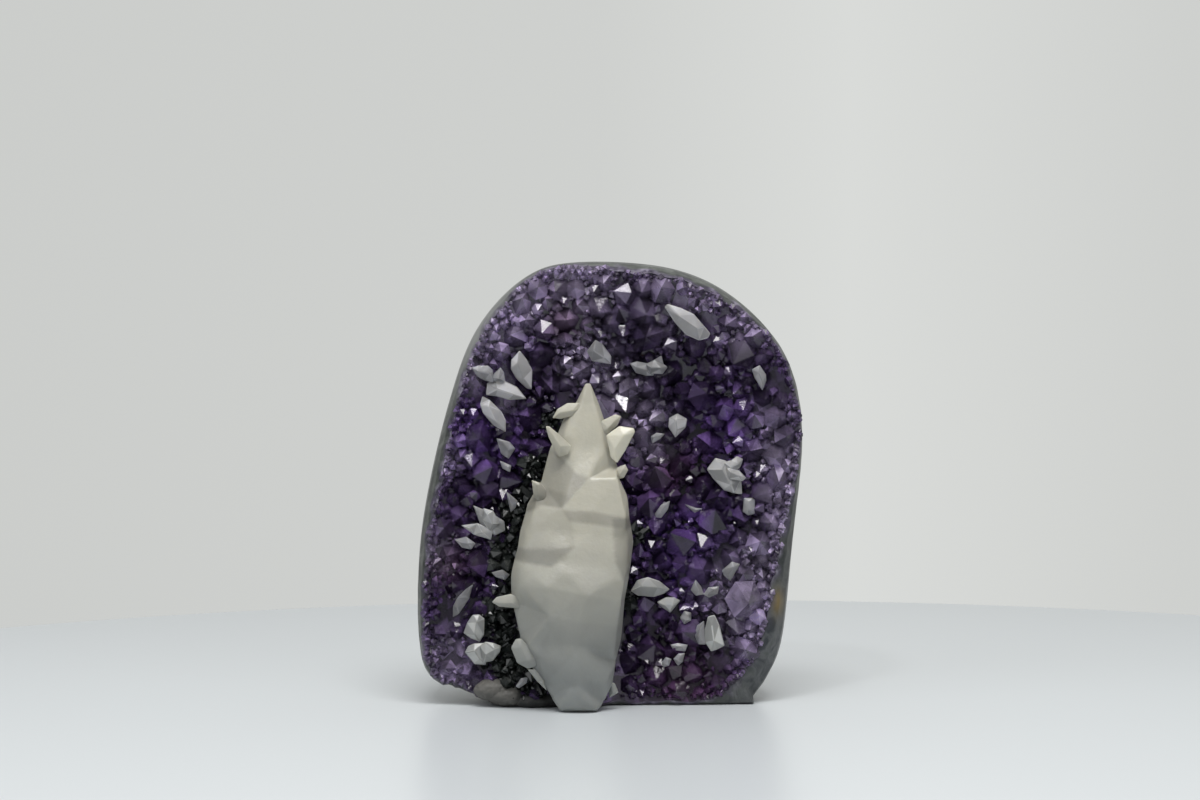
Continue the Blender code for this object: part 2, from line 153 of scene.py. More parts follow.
# Zones of the crust, as (x, z, radius, strength), from the photograph
LAVENDER_ZONES = (
    (-6.0, 97.0, 8.0, 0.9),
    (0.0, 91.0, 6.0, 0.8),
    (2.0, 87.0, 8.0, 1.0),
    (8.5, 80.0, 7.0, 1.0),
    (11.0, 73.0, 5.0, 0.7),
    (38.0, 31.0, 10.0, 1.0),
    (42.0, 22.0, 9.0, 0.7),
    (43.0, 42.0, 5.5, 0.9),
    (47.5, 70.0, 6.0, 1.0),
    (49.0, 60.0, 5.0, 0.8),
    (49.0, 50.0, 6.0, 0.9),
    (46.0, 80.0, 6.0, 0.5),
    (-33.0, 106.0, 9.0, 0.8),
    (-24.0, 114.0, 9.0, 0.8),
    (-8.0, 120.0, 11.0, 0.8),
    (20.0, 117.0, 11.0, 0.6),
    (38.0, 106.0, 7.0, 0.5),
    (-38.0, 96.0, 6.0, 0.6),
    (-46.0, 70.0, 5.0, 0.4),
    (-50.0, 44.0, 6.0, 0.5),
    (-46.0, 12.0, 8.0, 0.5),
    (-30.0, 86.0, 4.0, 0.5),
)
DARK_ZONES = (
    (0.0, 106.0, 13.0, 0.9),
    (8.0, 102.0, 12.0, 0.7),
    (32.0, 50.0, 13.0, 0.7),
    (14.0, 42.0, 9.0, 0.6),
    (14.0, 12.0, 10.0, 0.5),
    (-24.0, 66.0, 9.0, 0.5),
    (22.0, 88.0, 10.0, 0.4),
)
VIOLET_ZONES = (
    (-35.0, 77.0, 9.0, 0.9),
    (34.0, 79.0, 8.0, 0.8),
    (22.0, 48.0, 9.0, 0.8),
    (24.0, 36.0, 7.0, 0.6),
    (-30.0, 105.0, 8.0, 0.5),
)
WINE_ZONES = (
    (-13.0, 110.0, 6.0, 0.8),
    (-46.0, 41.0, 6.0, 0.7),
    (18.0, 66.0, 7.0, 0.5),
    (22.0, 5.0, 12.0, 0.5),
)
DRUSE_ZONES = (
    (-25.0, 12.0, 11.0, 1.0),
    (-30.0, 26.0, 8.0, 1.0),
    (-27.0, 42.0, 8.5, 1.0),
    (-24.0, 54.0, 7.5, 1.0),
    (-20.0, 66.0, 6.0, 0.9),
    (-16.0, 80.0, 5.0, 0.7),
    (6.0, 30.0, 4.5, 0.8),
    (8.0, 48.0, 3.5, 0.8),
)

# The largest amethyst points, as (x, z, radius), from the photograph
LARGE_POINTS = (
    (38.0, 30.0, 6.0), (42.4, 45.5, 4.2), (47.0, 70.5, 4.4), (38.1, 15.4, 4.8), (4.4, 84.2, 4.8),
    (9.5, 76.0, 4.8), (-8.0, 94.4, 4.0), (34.5, 78.0, 4.0), (19.8, 67.5, 5.0), (26.8, 62.0, 4.4),
    (19.8, 46.5, 5.4), (12.0, 17.0, 5.4), (14.0, 24.6, 4.4), (-37.3, 75.5, 4.8), (-3.4, 112.4, 4.4),
    (-13.0, 109.0, 4.8), (18.8, 94.6, 5.6), (-27.6, 94.0, 5.0), (-27.0, 104.0, 4.8), (-44.0, 34.6, 4.8),
    (-42.6, 14.4, 5.0), (-25.0, 113.6, 4.6), (-14.6, 117.6, 4.0), (27.4, 108.0, 4.6), (36.6, 99.0, 5.0),
    (43.4, 86.0, 4.4), (26.8, 87.4, 5.0), (10.8, 104.6, 5.0), (2.0, 101.0, 4.2), (29.4, 52.0, 4.8),
    (42.6, 60.0, 4.6), (-42.0, 62.0, 4.6), (-37.4, 40.0, 4.6), (24.0, 8.6, 4.8), (33.0, 41.6, 4.6),
    (13.0, 8.0, 4.2), (30.0, 23.6, 4.2), (12.0, 34.6, 4.4), (11.6, 56.6, 4.6), (-35.4, 66.0, 4.2),
    (28.4, 73.6, 4.4), (11.8, 88.6, 4.6), (-18.6, 99.6, 4.8), (14.6, 117.6, 4.2), (-36.8, 84.0, 4.0),
)
# Points with a face turned to mirror the lamp overhead to the front, as (x, z, radius)
GLINTS = (
    (-18.6, 106.2, 3.2), (-20.4, 112.2, 1.8), (4.0, 116.4, 3.6), (-12.4, 97.0, 2.2), (17.2, 102.0, 2.8),
    (34.0, 94.2, 2.0), (27.0, 89.0, 2.4), (30.6, 113.4, 1.6), (-38.8, 82.6, 1.8), (-41.8, 82.8, 1.4),
    (11.8, 44.8, 2.0), (6.8, 37.6, 1.8), (-4.4, 117.6, 1.8), (2.2, 92.6, 1.8), (40.0, 44.0, 1.6),
    (-33.0, 33.6, 1.4), (-30.6, 36.0, 1.0), (42.0, 64.8, 1.4), (20.0, 32.0, 1.2), (8.0, 50.8, 1.4),
)
MOST_GLINT_TURN = math.radians(75)
GLINT_RISE = 0.6
GLINT_ROOT = 2.0
OVERHEAD_LAMP = (0.06, -0.32, 0.82)

# Sizes of amethyst points and druse: (radius range, most of them, spacing as a share of the radii)
POINT_SIZES = (
    ((3.8, 5.2), 70, 0.74),
    ((2.6, 3.8), 190, 0.68),
    ((1.5, 2.6), 330, 0.62),
    ((0.6, 1.4), 560, 0.6),
)
DRUSE_SIZES = (
    ((1.3, 2.2), 130, 0.7),
    ((0.5, 1.2), 900, 0.62),
)
# How far they lean at random, and how high their shoulders are, as shares of the radius
POINT_STANCE = (0.24, (-0.45, 0.25))
BORDER_STANCE = (0.5, (-0.3, 0.2))
DRUSE_STANCE = (0.5, (-0.2, 1.0))
# Strength of the druse zones up to which amethyst grows, and from which druse grows
DRUSE_LIMIT = 0.5
SMALL_DRUSE_LIMIT = 0.62
SMALL_TO = 1.6
DRUSE_FROM = 0.42
# Scatter: tries for each crystal, and its distance to the rim as a share of its radius
TRIES_FOR_EACH = 30
LARGE_FROM = 1.4
LARGE_MARGIN = 0.95
SMALL_MARGIN = 0.5
FOOT_GAP = 1.2
# Small points along the rim's inner edge
BORDER_SIZES = (0.6, 1.5)
BORDER_INSIDE = (-0.1, 0.9)
BORDER_ROWS = 2
BORDER_SHARE = 0.55
# How much of the rim is left in front of a point that laps over it
LEAST_RIM = 0.3

# Shape of a point, as shares of its radius
POINT_FOOT = 0.9
MOST_LEAN = 0.4
LOWEST_SHOULDER = -0.28
POINT_FLATNESS = (0.8, 1.0)
POINT_SLOPE = (0.8, 1.15)
# How crystals stand: upright within this width of the rim, and low behind the calcite
UPRIGHT_WIDTH = 6.0
LEAST_FREEDOM = 0.15
COVERED_REACH = 0.8
DEEPEST_RISE = 0.7
ROOT_SHARE = 0.8
SHORTEST_ROOT = 0.5
# Rays that look for the calcite start behind all of it
BEHIND_ALL = 60.0
LOOK_WAYS = 8

# Colours of the amethyst, each over the ones before it
DEEP_VIOLET = (0.085, 0.052, 0.135)
NEAR_BLACK = (0.028, 0.018, 0.05)
CLEAR_VIOLET = (0.17, 0.09, 0.33)
LAVENDER = (0.58, 0.5, 0.68)
WINE = (0.13, 0.05, 0.1)
COLOUR_ZONES = (
    (NEAR_BLACK, DARK_ZONES),
    (CLEAR_VIOLET, VIOLET_ZONES),
    (WINE, WINE_ZONES),
    (LAVENDER, LAVENDER_ZONES),
)
# Painted shade that darkens the amethyst behind the crust's mean face, in the gaps between the points, and
# a random shade for each crystal
PAINTED_DEPTH_SHADE = 0.45
DARKEST_BEHIND = 4.0
LEAST_SHADE = 0.45
SHADE_RANGE = 1.1
# Darkest and lightest painted shade of a crystal's facets, as a share of its colour: painted shade and
# sheen for how each facet catches and bends the light
PAINTED_FACET_SHADES = (0.45, 2.3)
NORMAL_STEPS = 4
FROST_WIDTH = 5.0
RIM_FROST = 0.75
PALE_FROST = 0.5

# Lumps of plain rock along the foot at the lower left, as (x, y, z) and (half width, depth, height)
FOOT_LUMPS = (
    ((-32.8, -15.3, 4.7), (5.8, 4.4, 3.0)),
    ((-29.2, -15.8, 3.2), (5.8, 4.4, 3.1)),
    ((-20.6, -15.6, 1.8), (8.0, 4.4, 2.3)),
)
FOOT_ROUGHNESS = 0.55
FOOT_FINENESS = 2.2
# Where along X the rock at the foot goes from beige to nearly black
FOOT_BEIGE_END = -27.0
FOOT_DARK_START = -24.8

# Front edge of the spire all round, clockwise from its tip
SPIRE_EDGE = (
    (-6.9, -14.6, 91.2), (-5.5, -14.6, 91.2), (-3.3, -15.0, 86.2), (-1.7, -15.3, 81.5),
    (-0.4, -15.5, 77.7), (2.0, -16.5, 68.7), (2.7, -18.0, 64.5), (5.0, -20.0, 59.6),
    (5.5, -20.5, 54.4), (6.7, -21.0, 47.2), (6.2, -21.0, 43.1), (5.5, -22.0, 38.2),
    (4.2, -22.5, 31.2), (3.2, -23.0, 20.0), (1.8, -23.5, 14.1), (0.8, -24.0, 7.5),
    (-1.7, -25.0, 2.6), (-3.6, -26.0, 0.0), (-9.2, -26.5, 0.0), (-13.8, -26.0, 0.0),
    (-16.4, -25.0, 3.7), (-18.7, -24.5, 7.6), (-22.1, -24.0, 12.3), (-25.5, -23.0, 20.9),
    (-26.7, -22.5, 26.0), (-27.7, -22.0, 30.9), (-27.9, -22.0, 37.7), (-27.0, -21.5, 41.9),
    (-26.0, -21.0, 45.6), (-25.3, -20.5, 50.1), (-23.8, -19.5, 55.3), (-23.3, -19.0, 57.6),
    (-19.5, -17.0, 63.9), (-18.6, -16.0, 67.5), (-17.2, -15.0, 72.6), (-14.6, -14.5, 77.7),
    (-13.2, -14.3, 81.2), (-9.4, -14.3, 86.2),
)

# Corners of the facets on the spire's front
SPIRE_FRONT_CORNERS = {
    "nose left": (-7.9, -16.4, 86.4),
    "nose right": (-4.7, -16.4, 86.4),
    "brow left": (-11.0, -17.8, 80.4),
    "brow right": (-3.0, -18.0, 80.4),
    "chest left": (-14.2, -18.8, 73.6),
    "chest right": (-1.8, -19.6, 73.6),
    "waist left": (-11.0, -20.9, 68.5),
    "waist middle": (-5.9, -22.9, 65.0),
    "waist right": (1.9, -22.2, 65.0),
    "crease left": (-20.8, -23.4, 57.4),
    "crease": (-13.3, -25.8, 56.7),
    "crease middle": (-5.0, -25.9, 55.8),
    "crease right": (4.4, -24.4, 54.2),
    "shoulder left": (-22.8, -25.4, 50.6),
    "shoulder": (-11.2, -28.0, 50.2),
    "shoulder right": (4.4, -26.2, 49.0),
    "belly left": (-24.6, -27.0, 42.4),
    "belly": (-12.4, -31.6, 42.0),
    "belly right": (4.6, -28.8, 40.0),
    "line left": (-25.0, -28.2, 34.8),
    "line": (-17.6, -32.6, 35.8),
    "line middle": (-6.4, -34.5, 33.6),
    "line right": (3.0, -30.0, 31.4),
    "ridge top": (-16.5, -32.9, 27.6),
    "ridge foot": (-22.6, -27.2, 18.6),
    "low middle": (-9.5, -33.4, 19.7),
    "low right": (1.0, -29.2, 19.4),
    "low left": (-16.4, -30.6, 13.0),
    "heel": (-9.7, -31.8, 8.3),
    "heel right": (-1.4, -28.6, 9.5),
    "toe left": (-13.4, -29.2, 1.5),
    "toe right": (-4.2, -29.6, 1.3),
}
# Edges between the facets, through these corners
SPIRE_LINES = (
    ("waist left", "waist middle", "waist right"),
    ("waist middle", "crease"),
    ("waist right", "crease right"),
    ("crease left", "crease", "crease middle", "crease right"),
    ("line left", "line", "line middle", "line right"),
    ("ridge top", "ridge foot"),
    ("toe left", "toe right"),
)
SPIRE_CRISP_CORNERS = (
    "waist middle", "waist right", "crease left", "crease", "crease middle", "crease right",
    "line", "line middle", "line right", "ridge top", "ridge foot",
)
# How much of the wear each kind of corner takes
CRISP_WEAR = 0.05
BORDER_WEAR = 0.1
SPIRE_FINENESS = 4
SPIRE_WEAR_STEPS = 110
# Painted light and shade on the spire's facets: darker where a facet faces away from the light or lies in
# shade under the crease, lighter where it faces the light, as (painted shade, outline in x and z)
SPIRE_PAINTED_SHADING = (
    (0.68, (
        (-19.2, 69.5), (-17.8, 73.2), (-14.2, 71.1), (-9.1, 66.3), (-5.9, 65.1), (-13.4, 56.6),
        (-19.2, 57.5), (-24.0, 55.0), (-22.0, 62.0),
    )),
    (0.9, ((-15.4, 78.0), (-13.6, 82.6), (-11.6, 82.0), (-13.0, 76.0), (-15.0, 73.4), (-17.6, 73.0))),
    (0.78, ((-20.0, 62.4), (-11.0, 60.4), (-13.4, 56.6), (-19.2, 57.5), (-24.0, 55.0))),
    (0.88, ((-12.0, 84.0), (-9.0, 92.0), (-3.0, 92.0), (-1.0, 84.0), (-5.0, 86.0))),
    (1.06, ((-10.0, 82.0), (-3.0, 84.0), (0.6, 77.0), (2.4, 67.0), (-5.6, 66.0), (-12.6, 72.0))),
    (1.4, ((-1.0, 77.4), (2.6, 80.2), (7.6, 79.6), (7.6, 76.8), (4.4, 71.4), (2.0, 68.2), (0.0, 70.8))),
    (1.02, ((-5.9, 65.1), (3.6, 65.1), (5.6, 61.5), (6.8, 53.6), (-5.0, 56.0), (-13.4, 56.6))),
    (0.7, ((-13.4, 56.6), (-5.0, 56.0), (6.8, 53.6), (7.0, 50.6), (-5.0, 52.6), (-11.4, 53.4))),
    (0.88, (
        (-26.0, 54.8), (-19.2, 57.3), (-13.4, 56.6), (-10.5, 53.9), (-9.6, 46.5), (-16.0, 41.0),
        (-28.0, 42.4),
    )),
    (0.72, ((-27.0, 45.6), (-15.0, 45.8), (-9.6, 46.6), (-16.0, 41.0), (-27.0, 42.4))),
    (0.95, (
        (-16.0, 41.0), (-9.6, 46.5), (-4.0, 51.0), (0.6, 50.0), (1.0, 40.0), (4.7, 32.0), (-5.0, 34.0),
        (-17.9, 36.0),
    )),
    (0.7, ((0.6, 54.0), (7.6, 54.0), (8.0, 36.0), (5.4, 34.0), (1.4, 42.0))),
    (0.96, (
        (-30.0, 34.6), (-17.9, 35.6), (-5.0, 33.4), (8.0, 30.6), (8.0, -2.0), (-30.0, -2.0),
    )),
    (1.07, ((-22.6, 17.8), (-16.5, 28.0), (-14.6, 27.0), (-20.8, 16.4))),
    (0.93, ((-16.5, 27.6), (3.0, 24.0), (3.0, 17.0), (-8.0, 19.0), (-17.9, 8.2), (-22.5, 18.3))),
)
SHADING_BLUR = 0.35
SPIRE_AXIS_FOOT = -9.5
SPIRE_AXIS_TOP = -6.2
SPIRE_TOP = 91.1
SPIRE_BACK_FOOT = -14.0
SPIRE_BACK_HOLLOW = 5.0
SPIRE_BACK_WIDTH = 0.72
THINNEST_SPIRE = 0.6

# Side teeth grown together with the spire, as depth and outline in x and z
SPIRE_TEETH = (
    (-16.2, (
        (-16.2, 81.6), (-14.8, 84.1), (-12.0, 85.8), (-8.6, 85.8), (-8.0, 83.9), (-10.6, 82.1),
        (-13.9, 81.3),
    )),
    (-20.6, (
        (-18.0, 79.5), (-17.0, 79.5), (-13.9, 76.9), (-10.9, 74.0), (-11.7, 71.7), (-14.5, 70.8),
        (-17.2, 76.5),
    )),
    (-22.0, ((-21.9, 64.5), (-19.3, 63.7), (-17.8, 61.7), (-18.3, 59.2), (-20.0, 58.3), (-21.3, 59.7))),
    (-24.0, ((-33.0, 30.5), (-31.7, 31.9), (-27.7, 32.8), (-25.0, 31.6), (-25.0, 28.7), (-30.9, 29.2))),
    (-26.0, (
        (-27.6, 18.0), (-26.3, 20.4), (-24.8, 20.6), (-23.0, 18.7), (-19.8, 15.2), (-20.5, 12.8),
        (-22.8, 12.0), (-25.9, 13.7),
    )),
    (-17.0, ((-2.4, 80.8), (1.5, 82.7), (3.2, 82.1), (2.1, 79.5), (-0.6, 77.1), (-2.4, 77.7))),
    (-19.5, (
        (-1.1, 76.9), (2.6, 79.5), (6.7, 78.9), (7.0, 77.8), (4.3, 72.6), (2.0, 69.1), (0.2, 70.7),
    )),
    (-18.6, ((1.8, 67.7), (4.3, 68.7), (5.1, 67.1), (3.9, 64.9), (1.6, 64.4))),
    (-22.5, ((-0.6, 8.0), (1.3, 7.6), (2.4, 4.9), (-0.2, 3.3))),
    (-26.0, ((-23.0, 11.9), (-20.8, 11.9), (-18.6, 8.9), (-17.6, 5.9), (-20.3, 8.5))),
)

# Small calcites: node, then the outline in x and z of each crystal in it
SMALL_CALCITES = (
    ("calcite_blade_top_right", ((
        (16.3, 113.6), (20.0, 112.5), (23.8, 110.7), (26.8, 107.2), (28.5, 105.2), (27.8, 103.9),
        (25.3, 103.2), (21.5, 104.9), (18.5, 108.2), (15.5, 112.7),
    ),)),
    ("calcite_leaf_upper_left", ((
        (-25.6, 100.4), (-23.7, 98.0), (-22.0, 94.9), (-22.2, 89.3), (-23.7, 89.7), (-26.6, 92.5),
        (-28.1, 95.1), (-28.0, 97.7),
    ),)),
    ("calcite_blade_upper_left", ((
        (-34.8, 91.2), (-32.4, 92.4), (-29.6, 91.7), (-26.3, 90.1), (-23.6, 86.7), (-28.7, 86.4),
        (-32.4, 87.5), (-35.1, 87.8),
    ),)),
    ("calcite_chip_upper_left", (
        (
            (-39.2, 95.6), (-37.3, 96.2), (-34.5, 96.2), (-33.1, 94.9), (-32.8, 91.3),
            (-35.4, 91.9), (-37.6, 93.1),
        ),
        ((-33.8, 92.8), (-32.4, 94.3), (-31.0, 95.7), (-29.9, 94.2), (-29.6, 91.6), (-32.8, 91.6)),
    )),
    ("calcite_blade_left", ((
        (-36.1, 87.5), (-34.0, 86.4), (-30.7, 83.1), (-29.5, 80.7), (-29.5, 77.3), (-33.1, 79.3),
        (-35.9, 82.6), (-36.8, 85.1),
    ),)),
    ("calcite_tooth_left", ((
        (-32.2, 75.6), (-28.4, 74.5), (-26.8, 72.6), (-28.7, 69.7), (-30.8, 71.1),
    ),)),
    ("calcite_star_left", (
        ((-38.7, 56.7), (-33.6, 54.5), (-29.9, 52.2), (-29.6, 49.5), (-32.6, 48.1), (-36.3, 50.3)),
        ((-42.0, 51.1), (-37.3, 51.7), (-33.1, 49.6), (-33.6, 47.0), (-38.4, 48.4)),
        ((-35.8, 56.0), (-33.0, 55.2), (-31.0, 51.5), (-33.9, 49.0), (-36.1, 52.6)),
    )),
    ("calcite_sliver_left", ((
        (-43.9, 47.1), (-40.6, 47.9), (-38.0, 46.0), (-39.2, 44.2), (-41.8, 44.8),
    ),)),
    ("calcite_leaf_lower_left", ((
        (-44.4, 25.2), (-44.3, 28.3), (-43.0, 30.8), (-40.6, 33.2), (-38.7, 34.5), (-39.7, 30.5),
        (-42.7, 26.1),
    ),)),
    ("calcite_knob_lower_left", ((
        (-41.3, 20.8), (-40.3, 23.7), (-38.7, 26.0), (-36.9, 26.1), (-35.4, 24.9), (-35.5, 20.3),
        (-36.8, 18.3), (-39.1, 19.2),
    ),)),
    ("calcite_pair_lower_left", (
        (
            (-40.9, 15.4), (-40.0, 17.2), (-38.2, 18.0), (-35.4, 18.1), (-34.8, 14.9),
            (-35.0, 11.8), (-38.2, 12.1),
        ),
        (
            (-36.6, 17.2), (-35.1, 18.6), (-32.9, 18.3), (-30.6, 17.3), (-31.0, 15.7),
            (-32.9, 13.2), (-35.6, 12.6),
        ),
    )),
    ("calcite_leaf_beside_spire", ((
        (16.9, 81.0), (19.3, 82.3), (22.1, 80.7), (21.7, 78.4), (18.7, 75.4), (16.7, 78.4),
    ),)),
    ("calcite_star_right", (
        (
            (27.5, 66.7), (29.9, 69.9), (33.0, 69.1), (35.0, 66.2), (37.3, 64.0), (37.6, 59.6),
            (35.4, 59.8), (32.4, 60.7), (29.5, 63.8),
        ),
        (
            (32.2, 68.8), (34.5, 69.3), (36.0, 70.5), (37.8, 69.6), (37.0, 67.3), (34.5, 64.8),
            (32.5, 66.2),
        ),
        ((33.0, 67.3), (36.7, 66.4), (38.6, 64.3), (37.6, 63.4), (33.6, 64.0)),
    )),
    ("calcite_pair_top", (
        ((5.7, 96.6), (7.7, 97.2), (11.0, 96.6), (12.7, 95.9), (12.5, 93.1), (10.5, 93.1), (7.4, 93.9)),
        (
            (10.2, 96.4), (12.5, 97.6), (14.7, 98.9), (15.3, 96.4), (16.5, 95.6), (15.0, 93.6),
            (11.6, 93.6),
        ),
    )),
    ("calcite_leaf_far_right", ((
        (40.2, 95.1), (42.4, 96.3), (44.2, 93.6), (44.3, 91.9), (43.2, 89.1), (40.9, 92.8),
    ),)),
    ("calcite_wedge_top", ((
        (-6.6, 100.1), (-4.1, 103.4), (-2.1, 102.2), (0.4, 98.7), (0.3, 96.4), (-5.1, 97.3),
    ),)),
    ("calcite_leaf_low_middle", ((
        (5.9, 32.4), (7.7, 35.5), (10.7, 36.4), (13.9, 35.3), (16.9, 32.9), (15.4, 31.7),
        (12.3, 30.7), (7.9, 31.1),
    ),)),
    ("calcite_chip_low_middle", ((
        (13.3, 29.4), (15.8, 30.7), (18.2, 30.7), (19.9, 29.8), (17.1, 26.3), (14.8, 27.8),
    ),)),
    ("calcite_blade_lower_right", ((
        (27.7, 25.4), (29.6, 25.9), (30.9, 23.0), (32.4, 17.1), (30.2, 16.0), (28.6, 15.5),
        (26.8, 18.2), (26.8, 21.7),
    ),)),
    ("calcite_chip_lower_right", ((
        (22.8, 32.8), (24.2, 35.7), (25.8, 33.7), (26.6, 31.5), (24.3, 31.1),
    ),)),
    ("calcite_tooth_lower_right", ((
        (31.7, 38.3), (34.5, 40.8), (36.8, 40.1), (34.1, 35.2), (32.2, 36.9),
    ),)),
)
CLEAR_CALCITES = (
    "calcite_chip_upper_left", "calcite_tooth_left", "calcite_wedge_top", "calcite_pair_top",
    "calcite_leaf_far_right", "calcite_leaf_lower_left", "calcite_chip_lower_right",
    "calcite_tooth_lower_right", "calcite_sliver_left",
)
# Loose small calcites that lie on the crust, in the same way
CALCITE_BITS = (
    ((-29.4, 60.6), (-26.1, 57.8), (-26.7, 55.9), (-28.1, 54.5)),
    ((-33.5, 37.8), (-30.4, 38.6), (-28.3, 37.2), (-29.5, 35.6), (-32.3, 36.5)),
    ((11.7, 75.7), (13.4, 76.8), (15.7, 76.4), (14.3, 74.9), (12.0, 73.7)),
    ((-31.2, 69.2), (-27.9, 67.8), (-28.3, 65.9), (-30.5, 67.0)),
    ((37.9, 58.7), (41.1, 58.8), (41.0, 54.2), (39.1, 53.7), (37.6, 54.8)),
    ((19.8, 25.0), (21.0, 26.9), (23.0, 26.4), (23.0, 24.2), (21.0, 23.1)),
    ((24.6, 22.9), (26.6, 24.2), (27.1, 17.4), (25.0, 17.5), (24.0, 19.8)),
    ((26.4, 31.5), (27.8, 33.5), (30.9, 33.9), (30.5, 31.7), (28.0, 30.6)),
    ((17.1, 17.4), (19.2, 17.9), (22.0, 17.4), (21.3, 15.5), (17.9, 15.9)),
    ((14.5, 12.2), (15.8, 14.0), (17.4, 13.4), (16.7, 11.5), (15.2, 11.1)),
    ((17.9, 13.4), (19.4, 15.0), (21.2, 15.1), (20.6, 12.6), (19.2, 11.5)),
    ((12.8, 53.9), (14.6, 56.5), (17.1, 57.6), (16.6, 55.3), (14.6, 52.7), (13.1, 52.9)),
    ((21.2, 56.8), (24.4, 55.7), (26.3, 55.5), (24.1, 54.2)),
    ((-26.5, 6.3), (-25.0, 8.6), (-23.0, 8.9), (-23.4, 7.2), (-25.6, 5.7)),
)
SMALL_STANDOFF = 2.2
SMALL_WEAR = 0.24
TOOTH_WEAR = 0.35
CLUSTER_STEP = 0.5
# Where along a crystal its ridge has corners, as shares of its length
RIDGE_CORNERS = (0.28, 0.68)
RIDGE_SHIFT = 0.3
CRYSTAL_THICKNESS = 0.62
CRYSTAL_EDGE = 0.12
WORN_FROM = math.radians(14)
CREASED_FROM = math.radians(32)
# Darkest and lightest painted shade of the small calcites' facets, as a share of their colour, for how each
# facet catches the light
PAINTED_CALCITE_SHADES = (0.7, 1.5)


# Helpers

def clamp(value):
    return min(max(value, 0.0), 1.0)


def smooth_curve(points, steps_between):
    """A Catmull-Rom curve through the points, as an array."""
    points = np.array(points)
    padded = np.vstack([2 * points[0] - points[1], points, 2 * points[-1] - points[-2]])
    found = []
    for before, start, end, after in zip(padded, padded[1:], padded[2:], padded[3:]):
        for t in np.linspace(0, 1, steps_between, endpoint=False):
            twice = (
                2 * start
                + (end - before) * t
                + (2 * before - 5 * start + 4 * end - after) * t**2
                + (3 * start - before - 3 * end + after) * t**3
            )
            found.append(0.5 * twice)
    return np.vstack([found, points[-1]])


def even_steps(curve, count):
    """The curve at count + 1 evenly spaced places."""
    lengths = np.append(0, np.cumsum(np.hypot(*np.diff(curve, axis=0).T)))
    wanted = np.linspace(0, lengths[-1], count + 1)
    return np.column_stack([np.interp(wanted, lengths, curve[:, i]) for i in (0, 1)])


def spread_over(points, values):
    """The values spread evenly along the points."""
    return np.interp(np.linspace(0, 1, len(points)), np.linspace(0, 1, len(values)), values)


class Outline:
    """The rock's outline as points, each with its rim width and whether it is on the flat base."""

    def __init__(self):
        dome = even_steps(smooth_curve(OUTLINE, CURVE_STEPS), DOME_STEPS)
        base = np.linspace(dome[-1], dome[0], BASE_STEPS + 1)[1:-1]
        self.points = np.vstack([dome, base])
        ragged = [noise.noise(Vector((x, 0.0, z)) / RIM_WAVE) for x, z in self.points]
        widths = np.append(spread_over(dome, RIM_WIDTHS), spread_over(base, BASE_RIM_WIDTHS))
        self.rim = np.maximum(widths + RIM_RAGGED * np.array(ragged), NARROWEST_RIM)
        self.on_base = self.points[:, 1] < 0.01
        self.break_corner()
        self.reach = np.hypot(*(self.points - CENTRE).T)
        angles = np.arctan2(*(self.points - CENTRE).T)
        order = np.argsort(angles)
        self.angles = angles[order]
        self.reach_by_angle = self.reach[order]
        self.rim_by_angle = self.rim[order]

    def break_corner(self):
        """Chips off the lower left corner, above the base."""
        for i, (x, z) in enumerate(self.points):
            rough = noise.noise(Vector((x, NOISE_SLICE, z)) / BROKEN_GRAIN)
            chipped = BROKEN_DEPTH * (BROKEN_LEAST + rough)
            inward = (CENTRE - self.points[i]) / math.hypot(*(CENTRE - self.points[i]))
            if not self.on_base[i]:
                self.points[i] += inward * chipped * hill(x, z, BROKEN_CORNER, BROKEN_SPREAD)

    def pulled_in(self, distance):
        """The outline moved towards the centre by a distance, or by one distance for each point."""
        kept = 1 - np.broadcast_to(distance, self.reach.shape) / self.reach
        return CENTRE + (self.points - CENTRE) * kept[:, None]

    def that_way(self, x, z, values):
        """A value of the outline in the direction from the centre to a place."""
        angle = math.atan2(x - CENTRE[0], z - CENTRE[1])
        return np.interp(angle, self.angles, values, period=math.tau)

    def share(self, x, z):
        """0 at the centre, 1 on the outline."""
        return from_centre(x, z) / self.that_way(x, z, self.reach_by_angle)

    def inside_rim(self, x, z):
        """How far a place is inside the rim's inner edge."""
        full = self.that_way(x, z, self.reach_by_angle)
        return full - self.that_way(x, z, self.rim_by_angle) - from_centre(x, z)


def from_centre(x, z):
    return math.hypot(x - CENTRE[0], z - CENTRE[1])


def hill(x, z, middle, spread):
    """1 at the middle, falling off smoothly with the spread."""
    across = ((x - middle[0]) / spread[0]) ** 2
    along = ((z - middle[1]) / spread[1]) ** 2
    return math.exp(-across - along)


def wavy(place, *waves):
    """Noise at a place, from waves given as (height, wavelength)."""
    return sum(height * noise.noise(place / length) for height, length in waves)


def edge_y(x, z):
    """Depth of the rim's front edge."""
    lean = EDGE_Y_FOOT + (EDGE_Y_TOP - EDGE_Y_FOOT) * z / HEIGHT
    return lean - BULGE * hill(x, z, BULGE_AT, BULGE_SPREAD)


def from_rim_to_middle(x, z, at_rim, in_middle):
    """A value that changes beside the rim and is the same over most of the hollow."""
    inside = 1 - min(outline.share(x, z), 1.0) ** RIM_FADE
    return at_rim + (in_middle - at_rim) * inside


def crust_y(x, z):
    """Depth of the crust's mean front face."""
    bowl = BOWL_DEPTH * hill(x, z, BOWL_AT, BOWL_SPREAD)
    return edge_y(x, z) + from_rim_to_middle(x, z, 0.0, bowl)


def seat_y(x, z):
    """Depth of the rock's face behind the crust."""
    return crust_y(x, z) + from_rim_to_middle(x, z, CRUST_AT_RIM, CRUST_IN_MIDDLE)


def crust_normal(x, z, step=1.5):
    """Direction in which the crust's mean face looks."""
    dx = (crust_y(x + step, z) - crust_y(x - step, z)) / (2 * step)
    dz = (crust_y(x, z + step) - crust_y(x, z - step)) / (2 * step)
    return Vector((dx, -1.0, dz)).normalized()


def zone(zones, x, z):
    """Strongest of the zones at a place, from 0 to 1."""
    return max(s * math.exp(-((x - cx) ** 2 + (z - cz) ** 2) / r**2) for cx, cz, r, s in zones)


